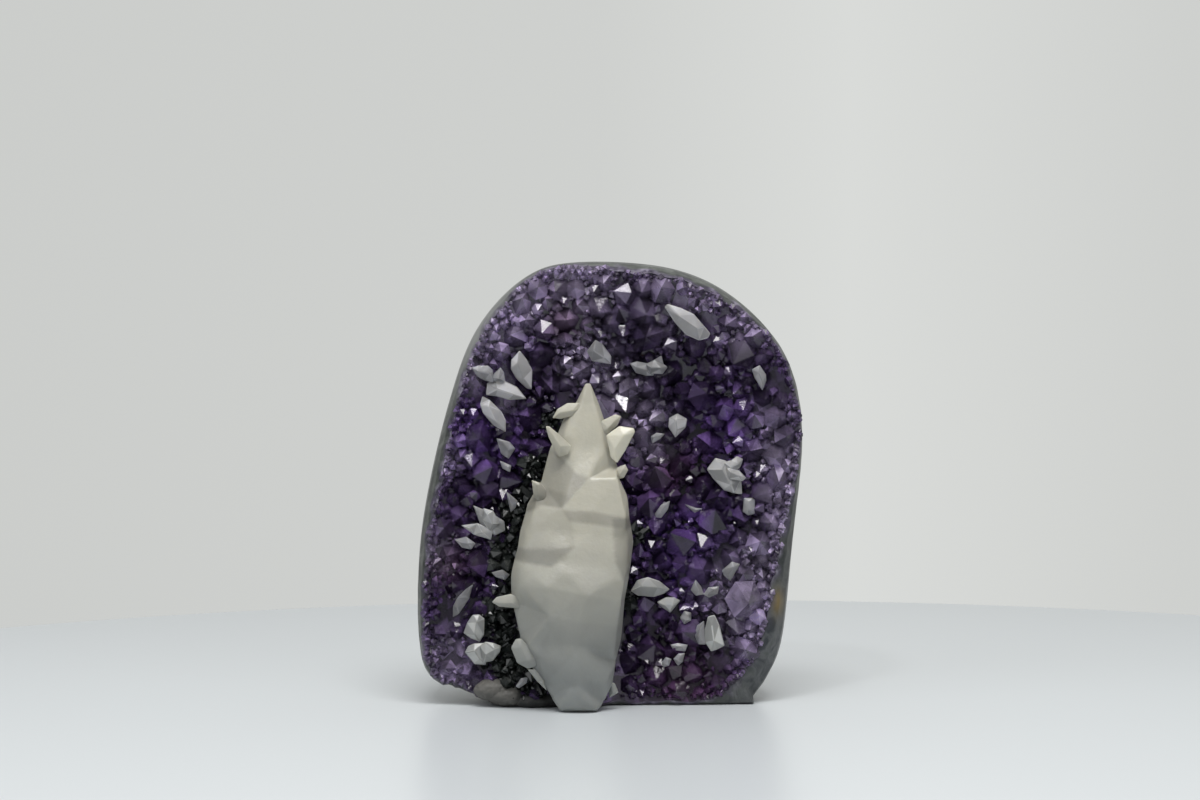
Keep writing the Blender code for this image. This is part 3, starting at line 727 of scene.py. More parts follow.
def add_ring(shape, places, depth_of):
    """A ring of vertices at places in x and z, as deep as a function says."""
    return [shape.verts.new((x, depth_of(x, z), z)) for x, z in places]


def bridge(shape, first, second, slot=0):
    """Quads between two rings of as many vertices."""
    for i, vertex in enumerate(first):
        face = shape.faces.new((first[i - 1], vertex, second[i], second[i - 1]))
        face.material_index = slot


def bridge_all(shape, rings, slot=0):
    for first, second in zip(rings, rings[1:]):
        bridge(shape, first, second, slot)


def close_with_fan(shape, ring, tip, slot=0):
    """Triangles from a ring to a new vertex."""
    vertex = shape.verts.new(tip)
    for i, corner in enumerate(ring):
        face = shape.faces.new((ring[i - 1], corner, vertex))
        face.material_index = slot


def flat_faces(places, edges):
    """Triangles between places in a plane, with these edges among theirs."""
    return delaunay_2d_cdt(places, edges, [], 1, 1e-6)[2]


def around(count):
    """Edges of a closed outline with so many corners."""
    return [(i, (i + 1) % count) for i in range(count)]


def to_mesh(name, shape):
    """A mesh in metres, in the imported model's frame, of a bmesh in millimetres."""
    bmesh.ops.recalc_face_normals(shape, faces=shape.faces)
    bmesh.ops.translate(shape, vec=ORIGIN, verts=shape.verts)
    bmesh.ops.scale(shape, vec=(MM, MM, MM), verts=shape.verts)
    mesh = bpy.data.meshes.new(name)
    shape.to_mesh(mesh)
    shape.free()
    return mesh


def link(name, data):
    obj = bpy.data.objects.new(name, data)
    bpy.context.scene.collection.objects.link(obj)
    return obj


def build_place(point):
    """A point of a finished mesh, back in millimetres in the build frame."""
    return point / MM - ORIGIN


def set_values(mesh, name, values):
    """Gives a mesh a number for each of its vertices."""
    mesh.attributes.new(name, "FLOAT", "POINT").data.foreach_set("value", values)


def bake_modifiers(obj):
    """Replaces an object's mesh by what its modifiers make of it."""
    bpy.context.view_layer.update()
    graph = bpy.context.evaluated_depsgraph_get()
    mesh = bpy.data.meshes.new_from_object(obj.evaluated_get(graph))
    obj.modifiers.clear()
    obj.data = mesh


outline = Outline()
rock_low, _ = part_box("rock")
spire_low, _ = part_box("calcite_spire")
ORIGIN = Vector((
    rock_low.x / MM - outline.points[:, 0].min(),
    spire_low.y / MM - SPIRE_FRONT,
    0.0,
))


# Materials. Scales of noise are in waves a metre.

def set_inputs(tree, node, **inputs):
    """Links or sets a node's inputs, named with underscores for spaces."""
    for name, value in inputs.items():
        socket = node.inputs[name.replace("_", " ")]
        if isinstance(value, bpy.types.NodeSocket):
            tree.links.new(value, socket)
        else:
            socket.default_value = value
    return node


def add_node(tree, kind, **inputs):
    return set_inputs(tree, tree.nodes.new(kind), **inputs)


def new_material(name):
    """A material with its node tree, its shader and its coordinates, which are in metres."""
    material = bpy.data.materials.new(name)
    material.use_nodes = True
    tree = material.node_tree
    where = tree.nodes.new("ShaderNodeTexCoord").outputs["Object"]
    return material, tree, tree.nodes["Principled BSDF"], where


def noise_node(tree, where, scale, detail=4.0, roughness=0.55, distortion=0.0):
    return add_node(
        tree, "ShaderNodeTexNoise", Vector=where, Scale=scale, Detail=detail, Roughness=roughness,
        Distortion=distortion,
    ).outputs["Fac"]


def ramp(tree, factor, *stops):
    """Colour ramp with stops as (position, colour or shade of grey)."""
    node = add_node(tree, "ShaderNodeValToRGB", Fac=factor)
    elements = node.color_ramp.elements
    while len(elements) < len(stops):
        elements.new(0.5)
    for element, (position, colour) in zip(elements, stops):
        element.position = position
        element.color = (*(colour if isinstance(colour, tuple) else [colour] * 3), 1.0)
    return node.outputs["Color"]


def map_range(tree, value, kind="LINEAR", **limits):
    node = add_node(tree, "ShaderNodeMapRange", Value=value, **limits)
    node.interpolation_type = kind
    return node.outputs["Result"]


def scaled(tree, value, low_value, high_value):
    """A factor from 0 to 1 spread over a range."""
    return map_range(tree, value, To_Min=low_value, To_Max=high_value)


def mix(tree, factor, first, second, blend="MIX"):
    node = tree.nodes.new("ShaderNodeMix")
    node.data_type = "RGBA"
    node.blend_type = blend
    for socket, value in ((node.inputs[0], factor), (node.inputs[6], first), (node.inputs[7], second)):
        if isinstance(value, bpy.types.NodeSocket):
            tree.links.new(value, socket)
        else:
            socket.default_value = value if isinstance(value, float) else (*value, 1.0)
    return node.outputs[2]


def multiplied(tree, first, second):
    return mix(tree, 1.0, first, second, "MULTIPLY")


def add_bump(tree, shader, height, distance, strength=1.0):
    node = add_node(tree, "ShaderNodeBump", Height=height, Strength=strength, Distance=distance)
    set_inputs(tree, shader, Normal=node.outputs["Normal"])


def attribute(tree, name, output="Fac"):
    node = tree.nodes.new("ShaderNodeAttribute")
    node.attribute_name = name
    return node.outputs[output]


def along_axis(tree, where, axis):
    return add_node(tree, "ShaderNodeSeparateXYZ", Vector=where).outputs[axis]


def amethyst_material():
    material, tree, shader, where = new_material("amethyst")
    cloud = noise_node(tree, where, 320.0, detail=5.0, distortion=0.6)
    veiled = ramp(tree, cloud, (0.3, (0.62, 0.6, 0.66)), (0.7, (1.25, 1.2, 1.3)))
    # The colour attribute carries a painted shade behind the crust's mean face, and facet is a painted
    # shade and sheen on each facet, for how it catches and bends the light
    shaded = multiplied(tree, veiled, attribute(tree, "facet", "Color"))
    set_inputs(
        tree, shader, Base_Color=multiplied(tree, attribute(tree, "tint_and_shade", "Color"), shaded),
        Roughness=scaled(tree, attribute(tree, "frost"), 0.08, 0.42),
        Transmission_Weight=0.62, IOR=QUARTZ_IOR,
    )
    add_bump(tree, shader, noise_node(tree, where, 600.0, detail=5.0), 0.0002, strength=0.3)
    absorption = add_node(tree, "ShaderNodeVolumeAbsorption", Color=(0.48, 0.3, 0.68, 1.0), Density=450.0)
    set_inputs(tree, tree.nodes["Material Output"], Volume=absorption.outputs["Volume"])
    return material


def druse_material():
    material, tree, shader, where = new_material("dark druse")
    colour = ramp(
        tree, noise_node(tree, where, 160.0),
        (0.3, (0.003, 0.004, 0.004)), (0.55, (0.009, 0.011, 0.01)), (0.8, (0.03, 0.032, 0.03)),
    )
    dull = scaled(tree, noise_node(tree, where, 500.0), 0.05, 0.4)
    set_inputs(tree, shader, Base_Color=colour, Roughness=dull, IOR=QUARTZ_IOR)
    return material


def calcite_material(name, upper, lower, heights, cloudiness, clearness, painted_shade):
    """Frosted, waxy crystal whose colour changes between two heights, and is multiplied by a painted shade
    attribute.
    """
    material, tree, shader, where = new_material(name)
    height = map_range(
        tree, along_axis(tree, where, "Z"), "SMOOTHSTEP", From_Min=heights[0] * MM, From_Max=heights[1] * MM
    )
    cloud = noise_node(tree, where, 90.0, detail=6.0, distortion=1.2)
    veil = ramp(tree, cloud, (0.3, 1.0 - cloudiness), (0.7, 1.0))
    base = multiplied(tree, mix(tree, height, lower, upper), veil)
    set_inputs(
        tree, shader, Base_Color=multiplied(tree, base, attribute(tree, painted_shade, "Color")),
        Roughness=scaled(tree, noise_node(tree, where, 240.0), 0.22, 0.5),
        IOR=CALCITE_IOR, Transmission_Weight=clearness, Subsurface_Weight=0.8,
        Subsurface_Radius=(1.0, 0.92, 0.72), Subsurface_Scale=0.0012,
    )
    add_bump(tree, shader, noise_node(tree, where, 700.0, detail=3.0), 0.0003, strength=0.3)
    return material


def rock_material():
    """Polished grey-green rim with a painted highlight on its upper left, and rough dark rock where the
    polish attribute is 0.
    """
    material, tree, shader, where = new_material("geode rock")
    polish = attribute(tree, "polish")
    bands = noise_node(tree, where, 130.0, detail=7.0, roughness=0.65, distortion=0.8)
    ground = ramp(
        tree, bands, (0.35, (0.02, 0.023, 0.022)), (0.5, (0.05, 0.055, 0.05)), (0.68, (0.12, 0.128, 0.118))
    )
    specks = ramp(tree, noise_node(tree, where, 900.0, detail=2.0), (0.35, 1.0), (0.42, 0.0))
    ground = mix(tree, specks, ground, (0.03, 0.033, 0.03))
    muddy = ramp(
        tree, noise_node(tree, where, 130.0, detail=6.0, distortion=1.5),
        (0.35, (0.025, 0.03, 0.036)), (0.5, (0.1, 0.105, 0.11)), (0.65, (0.045, 0.055, 0.05)),
    )
    quartz = ramp(
        tree, noise_node(tree, where, 300.0, detail=7.0, roughness=0.65),
        (0.35, (0.02, 0.016, 0.03)), (0.5, (0.075, 0.063, 0.1)), (0.66, (0.24, 0.22, 0.28)),
    )
    # pale is a painted highlight where the light from above falls on the upper left of the rim
    pale = (0.17, 0.175, 0.172)
    rust = (0.17, 0.125, 0.055)
    for name, colour in (("muddy", muddy), ("pale", pale), ("spot", rust), ("cut", quartz)):
        ground = mix(tree, attribute(tree, name), ground, colour)
    rough = ramp(
        tree, noise_node(tree, where, 110.0, detail=8.0, roughness=0.7),
        (0.3, (0.03, 0.03, 0.028)), (0.55, (0.085, 0.08, 0.07)), (0.8, (0.17, 0.155, 0.13)),
    )
    set_inputs(
        tree, shader, Base_Color=mix(tree, polish, rough, ground),
        Roughness=scaled(tree, polish, 0.85, 0.4), Specular_IOR_Level=0.3,
    )
    coarse = noise_node(tree, where, 260.0, detail=8.0, roughness=0.7)
    relief = mix(tree, polish, coarse, noise_node(tree, where, 700.0))
    add_bump(tree, shader, relief, 0.0008, strength=scaled(tree, polish, 1.0, 0.1))
    return material


def foot_material():
    """Dull rock, beige-grey at the left and nearly black beside the spire."""
    material, tree, shader, where = new_material("foot rock")
    across = map_range(
        tree, along_axis(tree, where, "X"), From_Min=FOOT_BEIGE_END * MM, From_Max=FOOT_DARK_START * MM
    )
    patches = noise_node(tree, where, 200.0)
    pale = ramp(tree, patches, (0.3, (0.05, 0.049, 0.044)), (0.7, (0.115, 0.11, 0.1)))
    grains = noise_node(tree, where, 300.0)
    dark = ramp(tree, grains, (0.35, (0.005, 0.006, 0.006)), (0.7, (0.02, 0.019, 0.016)))
    set_inputs(tree, shader, Base_Color=mix(tree, across, pale, dark), Roughness=0.55)
    add_bump(tree, shader, noise_node(tree, where, 700.0, detail=5.0), 0.0004, strength=0.6)
    return material


def quartz_bed_material():
    """Dark quartz between the rock and the amethyst, seen through the points."""
    material, tree, shader, where = new_material("quartz bed")
    patches = noise_node(tree, where, 120.0)
    colour = ramp(tree, patches, (0.3, (0.012, 0.01, 0.02)), (0.7, (0.05, 0.04, 0.075)))
    set_inputs(tree, shader, Base_Color=colour, Roughness=0.6)
    return material


# Rock

def ring_values(way):
    """The ring table's values at any share of the way back."""
    table = np.array(ROCK_RINGS)
    return [np.interp(way, table[:, 0], table[:, i]) for i in range(1, 5)]


def natural_surface(place):
    """Height of the rough natural skin, from about -1 to 1: broad lumps, knobs, pits and grain."""
    pits = max(noise.noise(place / PIT_SIZE + PIT_SHIFT) - PITS_FROM, 0.0) * PIT_DEPTH
    return wavy(place, BROAD_LUMPS, KNOBS) - pits + wavy(place, GRAIN)


def rock_ring(shape, way):
    """A ring of the rock's skin, at a share of the way from the rim's inner edge to the back."""
    rim_share, dome_in, base_in, rough = ring_values(way)
    base_pull = base_in + outline.rim * rim_share**4
    pull = np.where(outline.on_base, base_pull, dome_in + outline.rim * rim_share)
    ring = []
    for place, reach in zip(outline.pulled_in(pull), outline.reach):
        depth = edge_y(*place) * (1 - way) + BACK_Y * way
        lump = rough * natural_surface(Vector((place[0], depth, place[1])))
        x, z = place + (place - CENTRE) / reach * lump
        ring.append(shape.verts.new((x, depth + lump, max(z, 0.0))))
    return ring


def rings_inward(shape, border, shares, depth_of):
    """Rings at shares of the way from the centre to a border, as deep as a function says."""
    return [add_ring(shape, CENTRE + (border - CENTRE) * share, depth_of) for share in shares]


def cut_quartz_at(place):
    """How much of the quartz seam along the inner edge of the rim is seen at a place."""
    outside = -outline.inside_rim(place.x, place.z)
    behind = max(place.y - edge_y(place.x, place.z), 0.0)
    wide = QUARTZ_WIDTH + wavy(place, QUARTZ_WAVE) + QUARTZ_WIDER * hill(place.x, place.z, *QUARTZ_RIM)
    cut = clamp((wide - outside - behind / 2) / QUARTZ_FADE)
    return cut * (1.0 - hill(place.x, place.z, *MUDDY_MARK))


def build_rock():
    shape = bmesh.new()
    near_rim = np.linspace(0, RIM_WAY, RIM_STEPS)
    beyond = np.linspace(RIM_WAY, 1, ROCK_STEPS - RIM_STEPS)[1:]
    skin = [rock_ring(shape, way) for way in (*near_rim, *beyond)]
    bridge_all(shape, skin)
    close_with_fan(shape, skin[-1], (CENTRE[0], BACK_Y, CENTRE[1]))

    lip = outline.pulled_in(outline.rim + LIP)
    hollow = [skin[0], add_ring(shape, lip, lambda x, z: edge_y(x, z) + CRUST_AT_RIM)]
    hollow += rings_inward(shape, lip, SHARES_INWARD[1:], seat_y)
    bridge_all(shape, hollow, slot=1)
    close_with_fan(shape, hollow[-1], (CENTRE[0], seat_y(*CENTRE), CENTRE[1]), slot=1)

    mesh = to_mesh("rock_finish", shape)
    mesh.shade_smooth()
    obj = link("rock_finish", mesh)
    mesh.materials.append(rock_material())
    mesh.materials.append(quartz_bed_material())
    places = [build_place(vertex.co) for vertex in mesh.vertices]
    set_values(
        mesh, "polish", [clamp((POLISH_TO + wavy(p, *POLISH_WAVES) - p.y) / POLISH_FADE) for p in places]
    )
    set_values(mesh, "cut", [cut_quartz_at(place) for place in places])
    # The pale mark is painted light on the upper left of the rim
    for name, mark in (("spot", RUST_MARK), ("pale", PAINTED_HIGHLIGHT_MARK), ("muddy", MUDDY_MARK)):
        set_values(mesh, name, [hill(p.x, p.z, *mark) * (p.y < MARKS_TO) for p in places])
    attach(obj, "root")
    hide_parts("rock")


# Amethyst and druse

class Footprint:
    """Where the calcite crystals stand in front of the crust, seen from the front."""

    def __init__(self):
        self.trees = []
        for name, node in nodes.items():
            if name.startswith("calcite"):
                points = [build_place(vertex.co) for vertex in node.data.vertices]
                faces = [polygon.vertices[:] for polygon in node.data.polygons]
                self.trees.append(BVHTree.FromPolygons(points, faces))

    def back(self, x, z, reach):
        """Depth of the back of the calcite near a place, or None."""
        starts = [Vector((x, BEHIND_ALL, z))]
        for angle in np.arange(LOOK_WAYS) * math.tau / LOOK_WAYS:
            starts.append(Vector((x + math.cos(angle) * reach, BEHIND_ALL, z + math.sin(angle) * reach)))
        hits = [tree.ray_cast(start, FORWARD)[0] for tree in self.trees for start in starts]
        return max((hit.y for hit in hits if hit), default=None)


def point_mesh(place, direction, side, radius, rise, root, flat, lean, slope, steps):
    """A six-sided prism with a point whose tip leans, its shoulders at unequal heights."""
    shape = bmesh.new()
    other = direction.cross(side)
    spokes = []
    for i in range(6):
        angle = math.radians(30 + 60 * i)
        spokes.append((side * math.cos(angle) + other * math.sin(angle) * flat) * radius)
    foot = [shape.verts.new(place - direction * root + spoke * POINT_FOOT) for spoke in spokes]
    shoulder = [
        shape.verts.new(place + direction * (rise + step * radius) + spoke)
        for spoke, step in zip(spokes, steps)
    ]
    shape.faces.new(foot)
    bridge(shape, foot, shoulder)
    close_with_fan(shape, shoulder, place + direction * (rise + radius * slope) + lean)
    return to_mesh("point", shape)


def point_crystal(place, direction, radius, rise, root, random):
    """A point turned and shaped at random."""
    side = direction.orthogonal().normalized()
    side.rotate(Quaternion(direction, random.uniform(0, math.tau)))
    other = direction.cross(side)
    angle = random.integers(0, 6) * math.tau / 6
    lean = (side * math.cos(angle) + other * math.sin(angle)) * random.uniform(0, MOST_LEAN) * radius
    steps = [random.uniform(LOWEST_SHOULDER, 0.0) * (i % 2) for i in range(6)]
    flat = random.uniform(*POINT_FLATNESS)
    slope = random.uniform(*POINT_SLOPE)
    return point_mesh(place, direction, side, radius, rise, root, flat, lean, slope, steps)


def glint_crystal(place, radius, turn):
    """A regular point with one face turned to mirror the lamp overhead to the front.

    The turn is how far the rest of the point is turned round the direction that the face looks in.
    """
    to_lamp = (Vector(OVERHEAD_LAMP) / MM - place - ORIGIN).normalized()
    to_front = (Vector(CAMERA_AT) - place).normalized()
    mirror = (to_lamp + to_front).normalized()
    face_slope = math.atan(1.0 / math.cos(math.radians(30)))
    turn_axis = mirror.cross(FORWARD).normalized()
    direction = mirror.copy()
    direction.rotate(Quaternion(turn_axis, face_slope))
    direction.rotate(Quaternion(mirror, turn))
    side = (mirror - direction * mirror.dot(direction)).normalized()
    root = radius + GLINT_ROOT
    return point_mesh(place, direction, side, radius, GLINT_RISE, root, 1.0, Vector(), 1.0, [0.0] * 6)


def slab_back_y(x, z):
    return seat_y(x, z) - SLAB_BEFORE_SEAT


def slab_front_y(x, z):
    return crust_y(x, z) + from_rim_to_middle(x, z, *SLAB_BEHIND_CRUST)


def slab_mesh():
    """The crust under its points, between the rock and a face behind the crust's mean face."""
    shape = bmesh.new()
    border = outline.pulled_in(outline.rim + SLAB_INSET)[::2]
    outer = []
    for depth_of in (slab_back_y, slab_front_y):
        rings = rings_inward(shape, border, SHARES_INWARD, depth_of)
        bridge_all(shape, rings)
        close_with_fan(shape, rings[-1], (CENTRE[0], depth_of(*CENTRE), CENTRE[1]))
        outer.append(rings[0])
    bridge(shape, *outer)
    return to_mesh("slab", shape)


def fuse(name, meshes):
    """One closed mesh of a base, which comes first, and all the crystals that stand on it."""
    crystals = bpy.data.collections.new(name)
    bpy.context.scene.collection.children.link(crystals)
    helpers = [bpy.data.objects.new("helper", mesh) for mesh in meshes[1:]]
    for helper in helpers:
        crystals.objects.link(helper)
    obj = link(name, meshes[0])
    if helpers:
        modifier = obj.modifiers.new("fuse", "BOOLEAN")
        modifier.operation = "UNION"
        modifier.operand_type = "COLLECTION"
        modifier.collection = crystals
        modifier.solver = "MANIFOLD"
        bake_modifiers(obj)
    for helper in helpers:
        bpy.data.objects.remove(helper)
    bpy.data.collections.remove(crystals)
    for mesh in meshes[1:]:
        bpy.data.meshes.remove(mesh)
    obj.data.materials.clear()
    return obj


def scatter(sizes, random, wanted, kept):
    """Places with radii, the large ones first, as (x, z, radius), after those that are given."""
    corners = outline.points.min(axis=0), outline.points.max(axis=0)
    for (smallest, largest), most, spacing in sizes:
        found = 0
        for x, z in random.uniform(*corners, (most * TRIES_FOR_EACH, 2)):
            if found == most:
                break
            radius = random.uniform(smallest, largest)
            margin = LARGE_MARGIN if radius > LARGE_FROM else SMALL_MARGIN
            in_hollow = outline.inside_rim(x, z) >= radius * margin and z >= radius + FOOT_GAP
            if not in_hollow or not wanted(x, z, radius):
                continue
            gaps = np.hypot(kept[:, 0] - x, kept[:, 1] - z) - (kept[:, 2] + radius) * spacing
            if len(gaps) and gaps.min() < 0:
                continue
            kept = np.vstack([kept, (x, z, radius)])
            found += 1
    return kept


def crystals_on_crust(places, random, tilt, height_share):
    """Meshes of crystals standing on the crust, upright beside the rim, low behind the calcite."""
    meshes = []
    for x, z, radius in places:
        freedom = min(max((outline.inside_rim(x, z) - radius) / UPRIGHT_WIDTH, LEAST_FREEDOM), 1.0)
        direction = FORWARD.lerp(crust_normal(x, z), freedom) + Vector(random.normal(0, tilt * freedom, 3))
        direction.normalize()
        thickness = seat_y(x, z) - crust_y(x, z)
        rise = random.uniform(*height_share) * radius
        behind = footprint.back(x, z, radius * COVERED_REACH)
        place = Vector((x, crust_y(x, z), z))
        if behind is not None:
            rise = min(rise, place.y - behind - radius)
        if rise < -thickness * DEEPEST_RISE:
            continue
        root = max(thickness * ROOT_SHARE * freedom, SHORTEST_ROOT) + max(-rise, 0.0)
        meshes.append(point_crystal(place, direction, radius, rise, root, random))
    return meshes


def mixed(first, second, share):
    return [a + (b - a) * share for a, b in zip(first, second)]


def tint_and_shade_at(x, z, depth_behind, random_share):
    """Colour of the amethyst at a place, with a painted shade that darkens it behind the mean face."""
    colour = DEEP_VIOLET
    for other, zones in COLOUR_ZONES:
        colour = mixed(colour, other, zone(zones, x, z))
    shade = 1.0 - PAINTED_DEPTH_SHADE * clamp(depth_behind / DARKEST_BEHIND)
    shade *= LEAST_SHADE + SHADE_RANGE * random_share
    return [min(channel * shade, 1.0) for channel in colour]


def paint_crust(mesh, places, random):
    """Gives each vertex its colour with a painted shade that darkens it behind the crust's mean face, each
    crystal its own shade, each facet a painted shade for how it catches the light, and each vertex a frost
    that is strongest beside the rim.
    """
    tree = kdtree.KDTree(len(places))
    shares = random.random(len(places))
    for i, (x, z, _) in enumerate(places):
        tree.insert((x, 0.0, z), i)
    tree.balance()

    def crystal_at(place):
        return tree.find((place.x, 0.0, place.z))[1]

    tints_and_shades = []
    frosts = []
    for vertex in mesh.vertices:
        place = build_place(vertex.co)
        share = shares[crystal_at(place)]
        behind = place.y - crust_y(place.x, place.z)
        tints_and_shades.append((*tint_and_shade_at(place.x, place.z, behind, share), 1.0))
        near_rim = math.exp(-max(outline.inside_rim(place.x, place.z), 0.0) / FROST_WIDTH)
        pale = zone(LAVENDER_ZONES, place.x, place.z)
        frosts.append(min(RIM_FROST * near_rim + PALE_FROST * pale * share, 1.0))
    mesh.attributes.new("tint_and_shade", "FLOAT_COLOR", "POINT").data.foreach_set("color", np.ravel(tints_and_shades))
    set_values(mesh, "frost", frosts)
    paint_facet_shades(mesh, lambda polygon: crystal_at(build_place(polygon.center)), *PAINTED_FACET_SHADES, random)


def paint_facet_shades(mesh, crystal_of, darkest, lightest, random):
    """Gives the faces of each crystal that look the same way one painted shade, drawn at random, for how
    that facet catches the light.
    """
    shades = {}
    values = []
    for polygon in mesh.polygons:
        facet = (crystal_of(polygon), *(round(part * NORMAL_STEPS) for part in polygon.normal))
        if facet not in shades:
            shades[facet] = darkest + (lightest - darkest) * random.random() ** 2
        values.append(shades[facet])
    sizes = [polygon.loop_total for polygon in mesh.polygons]
    mesh.attributes.new("facet", "FLOAT", "CORNER").data.foreach_set("value", np.repeat(values, sizes))


def border_places(random):
    """Small points along the inner edge of the rim, a little over it, as (x, z, radius)."""
    places = []
    for _ in range(BORDER_ROWS):
        inside = outline.rim + random.uniform(*BORDER_INSIDE, len(outline.rim))
        radii = np.minimum(random.uniform(*BORDER_SIZES, len(outline.rim)), inside - LEAST_RIM)
        chosen = random.random(len(outline.rim)) < BORDER_SHARE
        for (x, z), radius in zip(outline.pulled_in(inside)[chosen], radii[chosen]):
            if z > radius + FOOT_GAP and zone(DRUSE_ZONES, x, z) < DRUSE_LIMIT:
                places.append((x, z, radius))
    return places


def build_amethyst():
    random = np.random.default_rng(SEED)

    def wanted(x, z, radius):
        limit = DRUSE_LIMIT if radius > SMALL_TO else SMALL_DRUSE_LIMIT
        return zone(DRUSE_ZONES, x, z) < limit

    placed = [place for place in LARGE_POINTS if wanted(*place)]
    places = scatter(POINT_SIZES, random, wanted, np.array([*placed, *GLINTS]))
    others = np.vstack([placed, places[len(placed) + len(GLINTS):]])
    meshes = crystals_on_crust(others, random, *POINT_STANCE)
    for x, z, radius in GLINTS:
        turn = random.uniform(-MOST_GLINT_TURN, MOST_GLINT_TURN)
        meshes.append(glint_crystal(Vector((x, crust_y(x, z), z)), radius, turn))
    border_random = np.random.default_rng(SEED + 4)
    border = border_places(border_random)
    meshes += crystals_on_crust(border, border_random, *BORDER_STANCE)
    obj = fuse("amethyst_points", [slab_mesh(), *meshes])
    obj.data.materials.append(amethyst_material())
    paint_crust(obj.data, np.vstack([places, border]), random)
    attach(obj, "root")
    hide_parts("amethyst_crust")


def build_druse():
    random = np.random.default_rng(SEED + 1)
    places = scatter(
        DRUSE_SIZES, random, lambda x, z, radius: zone(DRUSE_ZONES, x, z) > DRUSE_FROM, np.empty((0, 3))
    )
    obj = fuse("dark_druse", crystals_on_crust(places, random, *DRUSE_STANCE))
    obj.data.materials.append(druse_material())
    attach(obj, "root")


def build_foot_lumps():
    """Plain rock that shows under the druse at the lower left."""
    meshes = []
    for middle, size in FOOT_LUMPS:
        shape = bmesh.new()
        bmesh.ops.create_icosphere(shape, subdivisions=5, radius=1.0)
        for vertex in shape.verts:
            place = Vector([at + part * half for at, part, half in zip(middle, vertex.co, size)])
            place += vertex.co.normalized() * FOOT_ROUGHNESS * natural_surface(place * FOOT_FINENESS)
            vertex.co = (place.x, place.y, max(place.z, 0.0))
        meshes.append(to_mesh("lump", shape))
    obj = fuse("foot_rock", meshes)
    obj.data.shade_smooth()
    obj.data.materials.append(foot_material())
    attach(obj, "root")


# Calcite

def crossings(corners, start, along, across, distance):
    """How far to the side of a line an outline is met, at a distance along the line."""
    found = []
    for first, second in zip(corners, corners[1:] + corners[:1]):
        before = (first - start).dot(along) - distance
        after = (second - start).dot(along) - distance
        if (before > 0) != (after > 0):
            place = first.lerp(second, before / (before - after))
            found.append((place - start).dot(across))
    return min(found), max(found)


def add_faces(shape, vertices, faces):
    for face in faces:
        shape.faces.new([vertices[i] for i in face])


def outlined_crystal(corners, depth, wear, random):
    """A crystal with a given outline in x and z, a ridge on its front and back, and worn edges."""
    corners = [Vector(corner) for corner in corners]
    tail, tip = max(combinations(corners, 2), key=lambda ends: (ends[1] - ends[0]).length)
    along = (tip - tail).normalized()
    across = Vector((-along.y, along.x))
    ridge = []
    halves = []
    for share in RIDGE_CORNERS:
        distance = share * (tip - tail).length
        left, right = crossings(corners, tail, along, across, distance)
        half = (right - left) / 2
        sideways = (left + right) / 2 + random.uniform(-RIDGE_SHIFT, RIDGE_SHIFT) * half
        ridge.append(tail + along * distance + across * sideways)
        halves.append(half)

    faces = flat_faces(corners + ridge, around(len(corners)))
    shape = bmesh.new()
    borders = []
    for side in (-1, 1):
        edge = depth + side * max(halves) * CRYSTAL_EDGE
        border = [shape.verts.new((corner.x, edge, corner.y)) for corner in corners]
        crest = [
            shape.verts.new((place.x, depth + side * half * CRYSTAL_THICKNESS, place.y))
            for place, half in zip(ridge, halves)
        ]
        add_faces(shape, border + crest, faces)
        borders.append(border)
    bridge(shape, *borders)
    wear_edges(shape, wear)
    return to_mesh("crystal", shape)


def wear_edges(shape, width):
    """Rounds the sharp edges of a bmesh."""
    bmesh.ops.recalc_face_normals(shape, faces=shape.faces)
    edges = [edge for edge in shape.edges if edge.calc_face_angle(0.0) > WORN_FROM]
    bmesh.ops.bevel(
        shape, geom=edges, offset=width, segments=2, profile=0.5, affect="EDGES", clamp_overlap=True
    )


def even_normals(obj):
    """Keeps large facets flat and their worn edges smooth."""
    obj.data.shade_smooth()
    obj.data.set_sharp_from_angle(angle=CREASED_FROM)
    obj.modifiers.new("facet normals", "WEIGHTED_NORMAL").keep_sharp = True
    bake_modifiers(obj)


def spire_back(corner):
    """The place behind a corner of the spire's edge, on its plain back."""
    height = corner.z / SPIRE_TOP
    middle = SPIRE_AXIS_FOOT + (SPIRE_AXIS_TOP - SPIRE_AXIS_FOOT) * height
    depth = SPIRE_BACK_FOOT + SPIRE_BACK_HOLLOW * math.sin(math.pi * height)
    x = middle + (corner.x - middle) * SPIRE_BACK_WIDTH
    return x, max(depth, corner.y + THINNEST_SPIRE), corner.z


